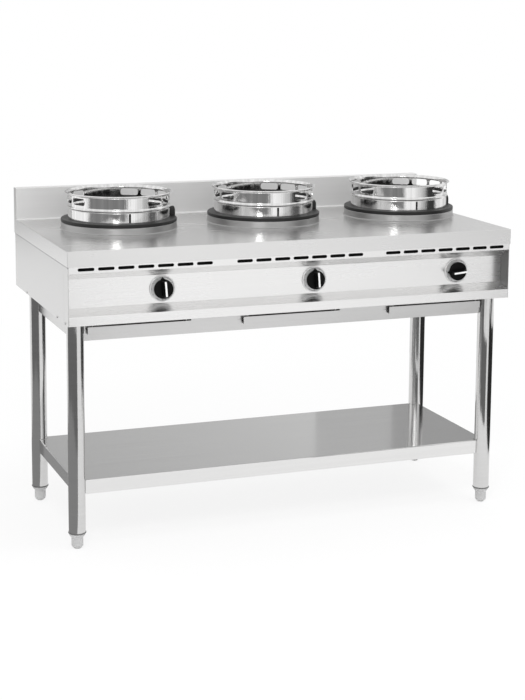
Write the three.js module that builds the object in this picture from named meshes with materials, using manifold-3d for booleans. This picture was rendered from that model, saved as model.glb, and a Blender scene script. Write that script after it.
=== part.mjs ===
// Three-station gas wok range on an open tube stand.
// Millimetres, +Z up, the front faces -Y, and the origin is on the floor under the middle of the worktop.
import * as THREE from 'three';
import { mergeVertices } from 'three/addons/utils/BufferGeometryUtils.js';
import Module from 'manifold-3d';

const wasm = await Module();
wasm.setup();

// ---------------------------------------------------------------- driving dimensions
const WIDTH = 1400;
const DEPTH = 700;
const WORKTOP_Z = 888;
const SKIRT_HEIGHT = 45;
const UPSTAND_HEIGHT = 100;
const UPSTAND_THICKNESS = 36;
const CASING_BOTTOM_Z = 673;
const SHELF_TOP_Z = 204;
const TUBE_END_Z = 47;

const TOP_SHEET = 2;
const SHEET = 1.5;
const GAP = 0.3;
const SMALL = 5;
const SUNK = 0.5;
const FLANGE = 16;
const MERGE_DISTANCE = 1e-4;

// The three stations repeat along X at one pitch. Rings, knobs, vents and trays each have their own offset.
const STATIONS = 3;
const STATION_PITCH = 474;
const RING_OFFSET = 41;
const KNOB_OFFSET = 66;
const VENT_OFFSET = 4;
const TRAY_OFFSET = 3;
const RING_Y = 70;
const stationX = (index, offset) => (index - (STATIONS - 1) / 2) * STATION_PITCH + offset;

// Casing envelope: it sits just inside the worktop's skirt.
const HALF_WIDTH = WIDTH / 2;
const HALF_DEPTH = DEPTH / 2;
const CASING_X = HALF_WIDTH - TOP_SHEET - GAP;
const CASING_Y = HALF_DEPTH - TOP_SHEET - GAP;
const CASING_TOP_Z = WORKTOP_Z - TOP_SHEET - GAP;

// Recessed control panel.
const PANEL_FLANGE = 28;
const VENT_BAND_BOTTOM_Z = 824;
const RECESS_TOP_Z = 800;
const RECESS_BOTTOM_Z = 716;
const SILL_FRONT_Z = 700;
const RECESS_Y = -298;
const CHEEK_BACK_Y = RECESS_Y + 2 * SHEET;
const VENT_Z = 834.5;
const VENT = { width: 46, height: 8, corner: 2.5, pitch: 58.5, count: 7 };
const SPINDLE_HOLE_RADIUS = 6.5;

// Cooling slots in the back, one group of rows behind each station.
const BACK_SLOT = { width: 120, height: 8, corner: 2.5, rows: 3, pitch: 22, lowestZ: 772 };

// Stand.
const LEG_RADIUS = 25;
const LEG_WALL = 1.5;
const FOOT_PLUG = { radius: LEG_RADIUS - LEG_WALL - 1, depth: 33 };
const LEG_X = HALF_WIDTH - 39;
const LEG_FRONT_Y = -275;
const LEG_BACK_Y = 205;
const RAIL_BOTTOM_Z = 615;
const RAIL_TOP_Z = CASING_BOTTOM_Z - GAP;
const RAIL_SHEET = 2;
const RAIL_FLANGE = 18;
const RAIL_NOTCH = { left: 171, right: 158, bottom: 646 };
const SHELF_LIP = 43;
const SHELF_HEM = 12;
const SHELF_OVERHANG = 6;

// Wok station, heights above the worktop.
const COLLAR = { radius: 178, height: 18, hole: 135, foot: 4, edge: 3 };
const COVE_RADIUS = 7;
const BASE = { radius: 178, inner: 128, height: 13, spigot: 6 };
const RING = { radius: 154, wall: 2.5, rimRadius: 163, bottom: 31.3, bead: 68, top: 113 };
const RING_SLOT = { width: 57, height: 21, corner: 5, above: 90.5 };
const RING_SLOT_ROWS = [
  { count: 6, firstDeg: -61, stepDeg: 24.6 },
  { count: 4, firstDeg: 130, stepDeg: 24.4 },
];
const SIDES = { ring: 24, well: 16, burner: 12, leg: 16, foot: 10, dial: 20, small: 8 };
const RING_JOINT = { angleDeg: -92, width: 4, belowBead: 8 };
const LUG = { halfWidth: 13, height: 30, thickness: 17, innerRadius: 159.5, sunk: 2 };
const BURNER = {
  cupRadius: 72, cupWall: 5, topZ: 866, tubeZ: 806, tubeRadius: 19, tubeWall: 4, tubeEndY: -150, ports: 10,
};
const WELL = { throatRadius: 97, throatZ: 856, coneTopZ: 880, wallRadius: 138.5, flangeRadius: 155 };
const CROSSBAR_TOP_Z = 786;
const CROSSBAR = { halfWidth: 22, height: 20, sheet: 2 };

// Gas side.
const TAP_Z = 759;
const TAP_Y = -245;
const OUTLET = { y: TAP_Y + 14, z: TAP_Z + 24 };
const MANIFOLD = {
  radius: 13.5, y: -245, z: 722, leftX: -560, rightX: 640, bend: 34,
  mouthWall: 3, mouthDepth: 40, clearance: 3.5,
};

// Knob and bezel. The knob's back, face and ridge and the spindle's front are measured from the recessed panel.
const BEZEL = { radius: 37, bore: 10 };
const KNOB = { radius: 27, back: 11, face: 19, ridge: 43, bore: 4.5 };
const KNOB_TURNED_DEG = [0, 0, 90];
const SPINDLE_RADIUS = 4;
const SPINDLE_FRONT = 30;
const SPINDLE_END_Y = -240;
const STEM_RADIUS = 2.2;

// Drip tray and its runners.
const TRAY = {
  lipWidth: 312, lipTopZ: 656, lipBottomZ: 635, panHalf: 142, floorZ: 648, topZ: 666.4, flange: 8,
};
const TRAY_FRONT_Y = -286.5;
const TRAY_BACK_Y = 185;
const TRAY_FLANGE_Y = -255;
const RUNNER = { y0: -262, y1: 195, ledgeZ: 664.3, clearance: 2.5 };
const FLOOR = {
  z: CASING_BOTTOM_Z + GAP, frontY: -CASING_Y + PANEL_FLANGE + SHEET, backY: CASING_Y - SHEET - GAP, overhang: 4,
};

// ---------------------------------------------------------------- geometry helpers

/** Turns a three.js geometry into a closed manifold solid. */
function solid(geometry) {
  const bare = geometry.clone();
  bare.deleteAttribute('normal');
  bare.deleteAttribute('uv');
  const merged = mergeVertices(bare, MERGE_DISTANCE);
  const triangles = [];
  const index = merged.index.array;
  for (let i = 0; i < index.length; i += 3) {
    const [a, b, c] = [index[i], index[i + 1], index[i + 2]];
    if (a !== b && b !== c && c !== a) triangles.push(a, b, c);
  }
  return new wasm.Manifold(new wasm.Mesh({
    numProp: 3,
    vertProperties: Float32Array.from(merged.attributes.position.array),
    triVerts: Uint32Array.from(triangles),
  }));
}

/** Turns a manifold solid back into a three.js geometry. */
function geometryOf(body) {
  const mesh = body.getMesh();
  const geometry = new THREE.BufferGeometry();
  geometry.setAttribute('position', new THREE.BufferAttribute(Float32Array.from(mesh.vertProperties), 3));
  geometry.setIndex(new THREE.BufferAttribute(Uint32Array.from(mesh.triVerts), 1));
  geometry.computeVertexNormals();
  return geometry;
}

const join = (first, ...rest) => rest.reduce((body, next) => body.add(next), first);
const cut = (first, ...rest) => rest.reduce((body, next) => body.subtract(next), first);

/** A block between two corners. */
function block(x0, x1, y0, y1, z0, z1) {
  const box = new THREE.BoxGeometry(x1 - x0, y1 - y0, z1 - z0);
  return solid(box.translate((x0 + x1) / 2, (y0 + y1) / 2, (z0 + z1) / 2));
}

const span = (a, b) => [Math.min(a, b), Math.max(a, b)];

/** A block whose two x values may come in either order. */
const sheet = (a, b, ...rest) => block(...span(a, b), ...rest);

/** Extrudes a shape by a depth and maps its own axes (u, v, depth) onto three world axes. */
function prism(shape, depth, axes, origin, curveSegments = 6) {
  const geometry = new THREE.ExtrudeGeometry(shape, { depth, bevelEnabled: false, curveSegments });
  const [u, v, w] = axes.map((axis) => new THREE.Vector3(...axis));
  geometry.applyMatrix4(new THREE.Matrix4().makeBasis(u, v, w).setPosition(...origin));
  return solid(geometry);
}

const X = [1, 0, 0];
const Y = [0, 1, 0];
const Z = [0, 0, 1];
const MINUS_Y = [0, -1, 0];

const outline = (points) => new THREE.Shape(points.map(([u, v]) => new THREE.Vector2(u, v)));

/** A constant cross-section in Y and Z, carried along X. */
const alongX = (points, x0, x1) => prism(outline(points), x1 - x0, [Y, Z, X], [x0, 0, 0]);

/** A shape drawn in X and Z, carried along -Y from y1 to y0. */
const alongY = (shape, y0, y1) => prism(shape, y1 - y0, [X, Z, MINUS_Y], [0, y1, 0]);

/** A closed (radius, height) profile turned about the Z axis through (x, y). */
function turned(profile, sides, x = 0, y = 0) {
  let area = 0;
  profile.forEach(([r, h], i) => {
    const [r2, h2] = profile[(i + 1) % profile.length];
    area += r * h2 - r2 * h;
  });
  const ring = area > 0 ? [...profile] : [...profile].reverse();
  const points = [...ring, ring[0]].map(([r, h]) => new THREE.Vector2(r, h));
  const lathe = new THREE.LatheGeometry(points, sides);
  return solid(lathe.rotateX(Math.PI / 2).translate(x, y, 0));
}

/** The same, turned about an axis along -Y, so that "height" runs towards the front. */
function turnedToFront(profile, sides, x, y, z) {
  return turned(profile, sides).rotate([90, 0, 0]).translate([x, y, z]);
}

/** A round bar along -Y, between two distances in front of the plane y. */
const frontDisc = (radius, from, to, x, y, z) =>
  turnedToFront([[0, from], [radius, from], [radius, to], [0, to]], SIDES.foot, x, y, z);

/** A round bar between two heights, or a disc. */
const rod = (radius, z0, z1, sides, x = 0, y = 0) =>
  turned([[0, z0], [radius, z0], [radius, z1], [0, z1]], sides, x, y);

/** The inner face of a folded sheet: its outer path moved to the left of the direction of travel. */
function innerFace(path, thickness) {
  const normals = path.slice(1).map(([u, v], i) => {
    const [du, dv] = [u - path[i][0], v - path[i][1]];
    const length = Math.hypot(du, dv);
    return [-dv / length, du / length];
  });
  return path.map(([u, v], i) => {
    const before = normals[Math.max(i - 1, 0)];
    const after = normals[Math.min(i, normals.length - 1)];
    const scale = thickness / (1 + before[0] * after[0] + before[1] * after[1]);
    return [u + (before[0] + after[0]) * scale, v + (before[1] + after[1]) * scale];
  });
}

/** A folded sheet as a closed outline. */
const folded = (path, thickness) => [...path, ...innerFace(path, thickness).reverse()];

/** A slot outline, its length along u, with each corner taken off at 45 degrees. */
function slotShape(u, v, length, height, corner) {
  const [a, b] = [length / 2, height / 2];
  return outline([
    [u - a + corner, v - b], [u + a - corner, v - b], [u + a, v - b + corner], [u + a, v + b - corner],
    [u + a - corner, v + b], [u - a + corner, v + b], [u - a, v + b - corner], [u - a, v - b + corner],
  ]);
}

// ---------------------------------------------------------------- finishes
const finish = (color, roughness, metalness) =>
  new THREE.MeshStandardMaterial({ color, roughness, metalness, flatShading: true });

const FINISH = {
  brushed: () => finish(0xc9cbca, 0.35, 1),
  satin: () => finish(0xd6d8d6, 0.28, 1),
  mirror: () => finish(0xdcdedf, 0.08, 1),
  tube: () => finish(0xc4c6c8, 0.16, 1),
  castIron: () => finish(0x3a3a3b, 0.62, 0.4),
  brass: () => finish(0xb08d4a, 0.35, 1),
  galvanised: () => finish(0xa8abac, 0.5, 0.9),
  knob: () => finish(0x0c0c0d, 0.3, 0),
  bezel: () => finish(0xcfcfcd, 0.4, 0.3),
  foot: () => finish(0xb9bbbc, 0.5, 0),
};

const group = new THREE.Group();

/** Adds one named piece to a group. */
function add(parent, name, body, material) {
  const mesh = new THREE.Mesh(geometryOf(body), material);
  mesh.name = name;
  parent.add(mesh);
  return mesh;
}

// ---------------------------------------------------------------- worktop with upstand

/** Silhouette of the folded top in Y and Z, moved inward by one wall. */
function topSilhouette(wall, bottomZ) {
  const front = -HALF_DEPTH + wall;
  const back = HALF_DEPTH - wall;
  const riser = HALF_DEPTH - UPSTAND_THICKNESS + wall;
  return [
    [front, bottomZ], [back, bottomZ], [back, WORKTOP_Z + UPSTAND_HEIGHT - wall],
    [riser, WORKTOP_Z + UPSTAND_HEIGHT - wall], [riser, WORKTOP_Z - wall], [front, WORKTOP_Z - wall],
  ];
}

/** Quarter-round cove along the foot of the upstand. */
function cove(radius) {
  const shape = new THREE.Shape();
  const [y, z] = [HALF_DEPTH - UPSTAND_THICKNESS, WORKTOP_Z];
  shape.moveTo(y + SUNK, z - SUNK);
  shape.lineTo(y - radius, z - SUNK);
  shape.lineTo(y - radius, z);
  shape.absarc(y - radius, z + radius, radius, -Math.PI / 2, 0);
  shape.lineTo(y + SUNK, z + radius);
  return prism(shape, WIDTH, [Y, Z, X], [-HALF_WIDTH, 0, 0], 2);
}

/** Raised collar pressed up around one burner hole. */
function collar(x) {
  const { radius, height, hole, foot, edge } = COLLAR;
  const top = WORKTOP_Z + height;
  const underside = WORKTOP_Z - TOP_SHEET + SUNK;
  return turned([
    [radius + foot, underside], [radius + foot, WORKTOP_Z - SUNK], [radius, WORKTOP_Z + foot],
    [radius, top - edge], [radius - edge, top], [hole, top], [hole, top - TOP_SHEET],
    [radius - TOP_SHEET, top - TOP_SHEET], [radius - TOP_SHEET, underside],
  ], SIDES.ring, x, RING_Y);
}

function worktop() {
  const outer = alongX(topSilhouette(0, WORKTOP_Z - SKIRT_HEIGHT), -HALF_WIDTH, HALF_WIDTH);
  const insideX = HALF_WIDTH - TOP_SHEET;
  const inner = alongX(topSilhouette(TOP_SHEET, WORKTOP_Z - SKIRT_HEIGHT - SMALL), -insideX, insideX);
  let body = join(cut(outer, inner), cove(COVE_RADIUS));
  for (let i = 0; i < STATIONS; i++) {
    const x = stationX(i, RING_OFFSET);
    const opening = rod(COLLAR.radius - 1, WORKTOP_Z - SMALL, WORKTOP_Z + SMALL, SIDES.ring, x, RING_Y);
    body = join(cut(body, opening), collar(x));
  }
  return body;
}

// ---------------------------------------------------------------- casing

/** Folded front: vent band, upper return, recessed panel, sill and lower strip, closed by a cheek at each end. */
function controlPanel() {
  const front = -CASING_Y;
  const [topFlangeY, bottomFlangeY] = [front + FLANGE, front + PANEL_FLANGE];
  const fold = [
    [topFlangeY, CASING_TOP_Z], [front, CASING_TOP_Z], [front, VENT_BAND_BOTTOM_Z],
    [RECESS_Y, RECESS_TOP_Z], [RECESS_Y, RECESS_BOTTOM_Z],
    [front, SILL_FRONT_Z], [front, CASING_BOTTOM_Z], [bottomFlangeY, CASING_BOTTOM_Z],
  ];
  const silhouette = [
    [front, CASING_TOP_Z], [front, CASING_BOTTOM_Z], [CHEEK_BACK_Y, CASING_BOTTOM_Z], [CHEEK_BACK_Y, CASING_TOP_Z],
  ];
  const recess = [...fold.slice(2, -2), [front - SMALL, SILL_FRONT_Z], [front - SMALL, VENT_BAND_BOTTOM_Z]];
  const hollow = [
    ...innerFace(fold, SHEET), [bottomFlangeY, CASING_BOTTOM_Z - SMALL],
    [CHEEK_BACK_Y + SMALL, CASING_BOTTOM_Z - SMALL], [CHEEK_BACK_Y + SMALL, CASING_TOP_Z + SMALL],
    [topFlangeY, CASING_TOP_Z + SMALL],
  ];
  const insideX = CASING_X - SHEET;
  const inside = (section) => alongX(section, -insideX, insideX);
  let body = cut(alongX(silhouette, -CASING_X, CASING_X), inside(hollow), inside(recess));
  for (let i = 0; i < STATIONS; i++) {
    for (let k = 0; k < VENT.count; k++) {
      const x = stationX(i, VENT_OFFSET) + (k - (VENT.count - 1) / 2) * VENT.pitch;
      const slot = slotShape(x, VENT_Z, VENT.width, VENT.height, VENT.corner);
      body = cut(body, alongY(slot, front - SMALL, front + SMALL));
    }
    const knobX = stationX(i, KNOB_OFFSET);
    body = cut(body, frontDisc(SPINDLE_HOLE_RADIUS, -SMALL, SMALL, knobX, RECESS_Y, TAP_Z));
  }
  return body;
}

/** Web and inward ledge of one tray runner, carried along Y. The side is -1 for the left of the tray, 1 for the right. */
function trayRunner(x, side) {
  const { y0, y1, ledgeZ, clearance } = RUNNER;
  const web = x + side * (TRAY.panHalf + TRAY.flange + clearance);
  const ledge = x + side * (TRAY.panHalf + SHEET);
  const back = web + side * SHEET;
  return alongY(outline([
    [web, CASING_BOTTOM_Z + SHEET], [back, CASING_BOTTOM_Z + SHEET], [back, ledgeZ - SHEET],
    [ledge, ledgeZ - SHEET], [ledge, ledgeZ], [web, ledgeZ],
  ]), y0, y1);
}

/** Edge of the casing's floor over one side of a tray. It overhangs the tray's flange. */
const floorEdge = (station, side) => stationX(station, TRAY_OFFSET) + side * (TRAY.panHalf + FLOOR.overhang);

/** Side sheet turned inward at the bottom as the end of the casing's floor, with the outermost tray runner. */
function sidePanel(side) {
  const station = side < 0 ? 0 : STATIONS - 1;
  const outer = side * CASING_X;
  const y0 = CHEEK_BACK_Y + GAP;
  return join(
    sheet(outer, outer - side * SHEET, y0, CASING_Y, CASING_BOTTOM_Z, CASING_TOP_Z),
    sheet(outer - side * SHEET / 2, floorEdge(station, side), y0 + SHEET, FLOOR.backY, FLOOR.z, FLOOR.z + SHEET),
    trayRunner(stationX(station, TRAY_OFFSET), side),
  );
}

/** Floor channel between two trays: it lies across the rails and carries a runner for each of them. */
function floorChannel(index) {
  const [x0, x1] = [floorEdge(index, 1), floorEdge(index + 1, -1)];
  return join(
    block(x0, x1, FLOOR.frontY, FLOOR.backY, FLOOR.z, FLOOR.z + SHEET),
    trayRunner(stationX(index, TRAY_OFFSET), 1),
    trayRunner(stationX(index + 1, TRAY_OFFSET), -1),
  );
}

/** Back sheet with rows of cooling slots and the hole for the gas inlet. */
function backPanel() {
  const halfX = CASING_X - SHEET - GAP;
  const frontY = CASING_Y - SHEET;
  let body = alongX(folded([
    [CASING_Y, CASING_BOTTOM_Z], [CASING_Y, CASING_TOP_Z], [CASING_Y - FLANGE, CASING_TOP_Z],
  ], SHEET), -halfX, halfX);
  const { width, height, corner, rows, pitch, lowestZ } = BACK_SLOT;
  for (let i = 0; i < STATIONS; i++) {
    for (let row = 0; row < rows; row++) {
      const slot = slotShape(stationX(i, 0), lowestZ + row * pitch, width, height, corner);
      body = cut(body, alongY(slot, frontY - SMALL, CASING_Y + SMALL));
    }
  }
  const inletRadius = MANIFOLD.radius + MANIFOLD.clearance;
  return cut(body, frontDisc(inletRadius, -SMALL, SMALL, MANIFOLD.rightX, CASING_Y, MANIFOLD.z));
}

// ---------------------------------------------------------------- stand

/** The clearance cut that a leg tube makes in the rails and the shelf. */
const legClearance = (x, y) => rod(LEG_RADIUS + 2 * GAP, 0, CASING_BOTTOM_Z + SMALL, SIDES.leg, x, y);

const LEGS = [
  ['front_left', -LEG_X, LEG_FRONT_Y], ['front_right', LEG_X, LEG_FRONT_Y],
  ['back_left', -LEG_X, LEG_BACK_Y], ['back_right', LEG_X, LEG_BACK_Y],
];
const legCuts = LEGS.map(([, x, y]) => legClearance(x, y));

/** Outline of a rail across its length: a web on the line of the legs, a flange turned inward at its foot. */
function railOutline(legLine, inward) {
  const outer = legLine - inward * RAIL_SHEET / 2;
  const path = [[outer, RAIL_TOP_Z], [outer, RAIL_BOTTOM_Z], [outer + inward * RAIL_FLANGE, RAIL_BOTTOM_Z]];
  return folded(inward > 0 ? path : path.reverse(), RAIL_SHEET);
}

/** Rail along X, between the front or the back legs. */
const crossRail = (legY, inward) => cut(alongX(railOutline(legY, inward), -LEG_X, LEG_X), ...legCuts);

/** Front apron, notched so that each drip tray slides out through it. */
function frontRail() {
  const notch = RAIL_NOTCH;
  let body = crossRail(LEG_FRONT_Y, 1);
  for (let i = 0; i < STATIONS; i++) {
    const x = stationX(i, TRAY_OFFSET);
    const opening = block(x - notch.left, x + notch.right, LEG_FRONT_Y - SMALL, LEG_FRONT_Y + SMALL,
      notch.bottom, RAIL_TOP_Z + SMALL);
    body = cut(body, opening);
  }
  return body;
}

/** Rail along Y, between the legs of one side. */
function sideRail(side) {
  const shape = outline(railOutline(side * LEG_X, -side));
  return cut(alongY(shape, LEG_FRONT_Y, LEG_BACK_Y), ...legCuts);
}

/** Undershelf: a tray turned down on all sides, its edge returned inward, notched round the legs. */
function undershelf() {
  const x = LEG_X + SHELF_OVERHANG;
  const y0 = LEG_FRONT_Y - SHELF_OVERHANG;
  const y1 = LEG_BACK_Y + SHELF_OVERHANG;
  const z0 = SHELF_TOP_Z - SHELF_LIP;
  const hem = SHELF_HEM;
  return cut(
    block(-x, x, y0, y1, z0, SHELF_TOP_Z),
    block(-x + SHEET, x - SHEET, y0 + SHEET, y1 - SHEET, z0 + SHEET, SHELF_TOP_Z - SHEET),
    block(-x + hem, x - hem, y0 + hem, y1 - hem, z0 - SMALL, z0 + SMALL),
    ...legCuts,
  );
}

const leg = () => turned([
  [LEG_RADIUS - LEG_WALL, TUBE_END_Z], [LEG_RADIUS, TUBE_END_Z],
  [LEG_RADIUS, RAIL_TOP_Z], [LEG_RADIUS - LEG_WALL, RAIL_TOP_Z],
], SIDES.leg);

/** Bullet foot: a plug in the tube, a collar under its end and a rounded tip. */
function foot() {
  const collarZ = TUBE_END_Z - GAP;
  const plugZ = TUBE_END_Z + FOOT_PLUG.depth;
  return turned([
    [0, 0], [9.5, 0], [15, 3], [17.3, 9], [17.3, 34], [23.5, 41], [23.5, collarZ],
    [FOOT_PLUG.radius, collarZ], [FOOT_PLUG.radius, plugZ], [0, plugZ],
  ], SIDES.foot);
}

// ---------------------------------------------------------------- wok station

/** Cast-iron base plate: spigot into the collar's hole, and one lug with a round back. */
function ringBase() {
  const z0 = WORKTOP_Z + COLLAR.height + GAP;
  const z1 = WORKTOP_Z + COLLAR.height + BASE.height;
  const plate = turned([
    [BASE.inner, z0 - BASE.spigot], [COLLAR.hole - 1, z0 - BASE.spigot], [COLLAR.hole - 1, z0],
    [BASE.radius, z0], [BASE.radius, z1],
    [BASE.inner, z1],
  ], SIDES.ring);
  const { halfWidth, height, thickness, innerRadius, sunk } = LUG;
  const face = new THREE.Shape();
  face.moveTo(-halfWidth, 0);
  face.lineTo(halfWidth, 0);
  face.absarc(0, height - halfWidth, halfWidth, 0, Math.PI);
  const lug = prism(face, thickness, [Y, Z, X], [innerRadius, 0, z1 - sunk], 3);
  return join(plate, lug);
}

/** Azimuths, in degrees, of the centres of the two rows of slots; the front and part of the back are plain. */
function ringSlotAngles() {
  const row = ({ count, firstDeg, stepDeg }) => Array.from({ length: count }, (_, k) => firstDeg + k * stepDeg);
  return RING_SLOT_ROWS.flatMap(row);
}

/** Wok ring: rolled strip with a bead at half height, a flared rim, slots above the bead and an open joint. */
function wokRing() {
  const { radius, wall, rimRadius, bottom, bead, top } = RING;
  const outside = [
    [radius, bottom], [radius, bead - 4.5], [radius + 3, bead], [radius, bead + 4.5],
    [radius, top - 10], [radius + 3.5, top - 4.5], [rimRadius, top - 2], [rimRadius - 1, top],
  ];
  const inside = [[radius + 1.5, top - 1.5], [radius - wall, top - 9], [radius - wall, bottom]];
  const at = (height) => WORKTOP_Z + height;
  const cutterReach = 12;
  let body = turned([...outside, ...inside].map(([r, h]) => [r, at(h)]), SIDES.ring);
  const slot = slotShape(0, at(RING_SLOT.above), RING_SLOT.width, RING_SLOT.height, RING_SLOT.corner);
  const slotCutter = alongY(slot, -radius - cutterReach, -radius + cutterReach);
  for (const angle of ringSlotAngles()) body = cut(body, slotCutter.rotate([0, 0, angle + 90]));
  const { angleDeg, width, belowBead } = RING_JOINT;
  const joint = block(-width / 2, width / 2, -radius - cutterReach, -radius + cutterReach, at(bottom) - 1,
    at(bead - belowBead));
  return cut(body, joint.rotate([0, 0, angleDeg + 90]));
}

/** Drip funnel hung under the collar, open at the bottom round the burner. */
function burnerWell() {
  const topZ = WORKTOP_Z + COLLAR.height - TOP_SHEET - GAP - SHEET;
  const { throatRadius, throatZ, coneTopZ, wallRadius, flangeRadius } = WELL;
  return turned(folded([
    [throatRadius, throatZ], [wallRadius, coneTopZ], [wallRadius, topZ], [flangeRadius, topZ],
  ], SHEET), SIDES.well);
}

/** Cast burner body: cup, throat and mixing tube running to the front, hollow from mouth to cup. */
function burnerBody() {
  const { cupRadius, cupWall, topZ, tubeZ, tubeRadius, tubeWall, tubeEndY } = BURNER;
  const floorZ = tubeZ - 2;
  const cup = turned([
    [0, floorZ], [26, floorZ], [30, floorZ + 22], [cupRadius, floorZ + 50], [cupRadius, topZ], [0, topZ],
  ], SIDES.burner);
  const cupHollow = turned([
    [0, floorZ + 8], [22, floorZ + 8], [25, floorZ + 25], [cupRadius - cupWall, floorZ + 53],
    [cupRadius - cupWall, topZ + SMALL], [0, topZ + SMALL],
  ], SIDES.burner);
  const mouth = RING_Y - tubeEndY;
  const bore = tubeRadius - tubeWall;
  const tube = turnedToFront([
    [0, -24], [tubeRadius, -24], [tubeRadius, mouth - 32],
    [tubeRadius + 7, mouth - 8], [tubeRadius + 7, mouth], [0, mouth],
  ], SIDES.small, 0, 0, tubeZ);
  const tubeHollow = turnedToFront([
    [0, 0], [bore, 0], [bore, mouth - 30],
    [bore + 7, mouth - 6], [bore + 7, mouth + SMALL], [0, mouth + SMALL],
  ], SIDES.small, 0, 0, tubeZ);
  const saddle = block(-16, 16, -18, 18, CROSSBAR_TOP_Z + GAP, floorZ + 2);
  return cut(join(cup, tube, saddle), cupHollow, tubeHollow);
}

/** Lift-off cap: a low dome with radial flame ports round its edge and a spigot into the cup. */
function burnerCap() {
  const z0 = BURNER.topZ + GAP;
  const radius = BURNER.cupRadius + 2;
  const spigot = BURNER.cupRadius - BURNER.cupWall - 1;
  let body = turned([
    [spigot - 4, z0 - 6], [spigot, z0 - 6], [spigot, z0], [radius, z0], [radius, z0 + 8],
    [radius - 30, z0 + 19], [0, z0 + 23], [0, z0 + 18], [spigot - 4, z0 + 6],
  ], SIDES.burner);
  for (let k = 0; k < BURNER.ports; k++) {
    const port = block(-2.5, 2.5, -radius - SMALL, -spigot + 6, z0 - 7, z0 + 4);
    body = cut(body, port.rotate([0, 0, (k + 0.5) * (360 / BURNER.ports)]));
  }
  return body;
}

/** Pilot burner and thermocouple on one bracket that stands on the crossbar. */
function pilotBurner() {
  const x = BURNER.cupRadius + 13;
  return join(
    block(x - 9, x + 9, -10, 10, CROSSBAR_TOP_Z + GAP, CROSSBAR_TOP_Z + 2),
    block(x - 1.5, x + 1.5, -10, 10, CROSSBAR_TOP_Z + 1, 846),
    turned([[0, 838], [4.5, 838], [4.5, 872], [3, 876], [0, 876]], SIDES.small, x, -5),
    turned([[0, 838], [2.6, 838], [2.6, 870], [0, 883]], 8, x, 5),
  );
}

/** U-channel across the casing that carries the three burners. */
function burnerCrossbar() {
  const halfX = CASING_X - SHEET - GAP;
  const { halfWidth, height, sheet: wall } = CROSSBAR;
  const [y0, y1] = [RING_Y - halfWidth, RING_Y + halfWidth];
  const z0 = CROSSBAR_TOP_Z - height;
  return cut(
    block(-halfX, halfX, y0, y1, z0, CROSSBAR_TOP_Z),
    block(-halfX - SMALL, halfX + SMALL, y0 + wall, y1 - wall, z0 - SMALL, CROSSBAR_TOP_Z - wall),
  );
}

// ---------------------------------------------------------------- gas taps and pipes

/** Bent feed pipe from the tap's outlet to the injector in front of the mixing tube. */
function feedPipe() {
  const dx = RING_OFFSET - KNOB_OFFSET;
  const z = BURNER.tubeZ;
  const start = new THREE.Vector3(0, OUTLET.y, OUTLET.z - 1);
  const run = new THREE.Vector3(dx, OUTLET.y + 44, z);
  const end = new THREE.Vector3(dx, BURNER.tubeEndY - 8, z);
  const knee = [new THREE.Vector3(0, OUTLET.y, z), new THREE.Vector3(dx, OUTLET.y + 8, z)];
  const path = new THREE.CurvePath();
  path.add(new THREE.CubicBezierCurve3(start, ...knee, run));
  path.add(new THREE.LineCurve3(run, end));
  const section = new THREE.Shape().absarc(0, 0, 4, 0, 2 * Math.PI);
  const pipe = solid(new THREE.ExtrudeGeometry(section, { steps: 7, curveSegments: 3, extrudePath: path }));
  const injector = turnedToFront([[0, -9], [2.5, -9], [6.5, -3], [6.5, 10], [0, 10]], 6, dx, end.y, z);
  return join(pipe, injector);
}

/** Gas tap: a stepped body bored for spindle and stem, a stub onto the manifold, an outlet nut and its feed pipe. */
function gasTap() {
  const along = (y) => TAP_Y - y;
  const bore = SPINDLE_RADIUS + 0.5;
  const stemBore = STEM_RADIUS + 0.5;
  const [backY, waistY, shoulderY, frontY, seatY] = [-205, -217, -264, -288, -234];
  const body = turnedToFront([
    [stemBore, along(backY)], [9, along(backY)], [9, along(waistY)], [16, along(waistY - 2)],
    [16, along(shoulderY)], [11, along(shoulderY - 4)], [9, along(frontY)], [bore, along(frontY)],
    [bore, along(seatY)], [stemBore, along(seatY)],
  ], SIDES.small, 0, TAP_Y, TAP_Z);
  const port = rod(8, MANIFOLD.z + MANIFOLD.radius + GAP, TAP_Z - 8, 8, 0, TAP_Y);
  const outlet = rod(7, TAP_Z + 8, OUTLET.z, 6, 0, OUTLET.y);
  return join(body, port, outlet, feedPipe());
}

/** Manifold pipe behind the panel, with an elbow at the right and an open threaded end at the back. */
function gasManifold() {
  const { radius, y, z, leftX, rightX, bend, mouthWall, mouthDepth } = MANIFOLD;
  const endY = HALF_DEPTH - 1;
  const section = new THREE.Shape().absarc(0, 0, radius + 3, 0, 2 * Math.PI);
  const elbowPath = new THREE.QuadraticBezierCurve3(
    new THREE.Vector3(rightX - bend, y, z),
    new THREE.Vector3(rightX, y, z),
    new THREE.Vector3(rightX, y + bend, z),
  );
  const sweep = { steps: 6, curveSegments: 5, extrudePath: elbowPath };
  const elbow = solid(new THREE.ExtrudeGeometry(section, sweep));
  const header = rod(radius, leftX, rightX - bend + 2, 12).rotate([0, 90, 0]).translate([0, y, z]);
  const branch = frontDisc(radius, -endY, -(y + bend - 2), rightX, 0, z);
  const mouth = frontDisc(radius - mouthWall, -endY - SMALL, -endY + mouthDepth, rightX, 0, z);
  return cut(join(header, elbow, branch), mouth);
}

// ---------------------------------------------------------------- knob, bezel and spindle

/** Dial bezel: a shallow dish with a raised rim round the knob. */
const dialBezel = () => turnedToFront([
  [BEZEL.bore, GAP], [BEZEL.radius, GAP], [BEZEL.radius, 3.5],
  [BEZEL.radius - 2, 5], [BEZEL.radius - 5, 3.2], [BEZEL.bore, 3.2],
], SIDES.dial, 0, RECESS_Y, TAP_Z);

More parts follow.
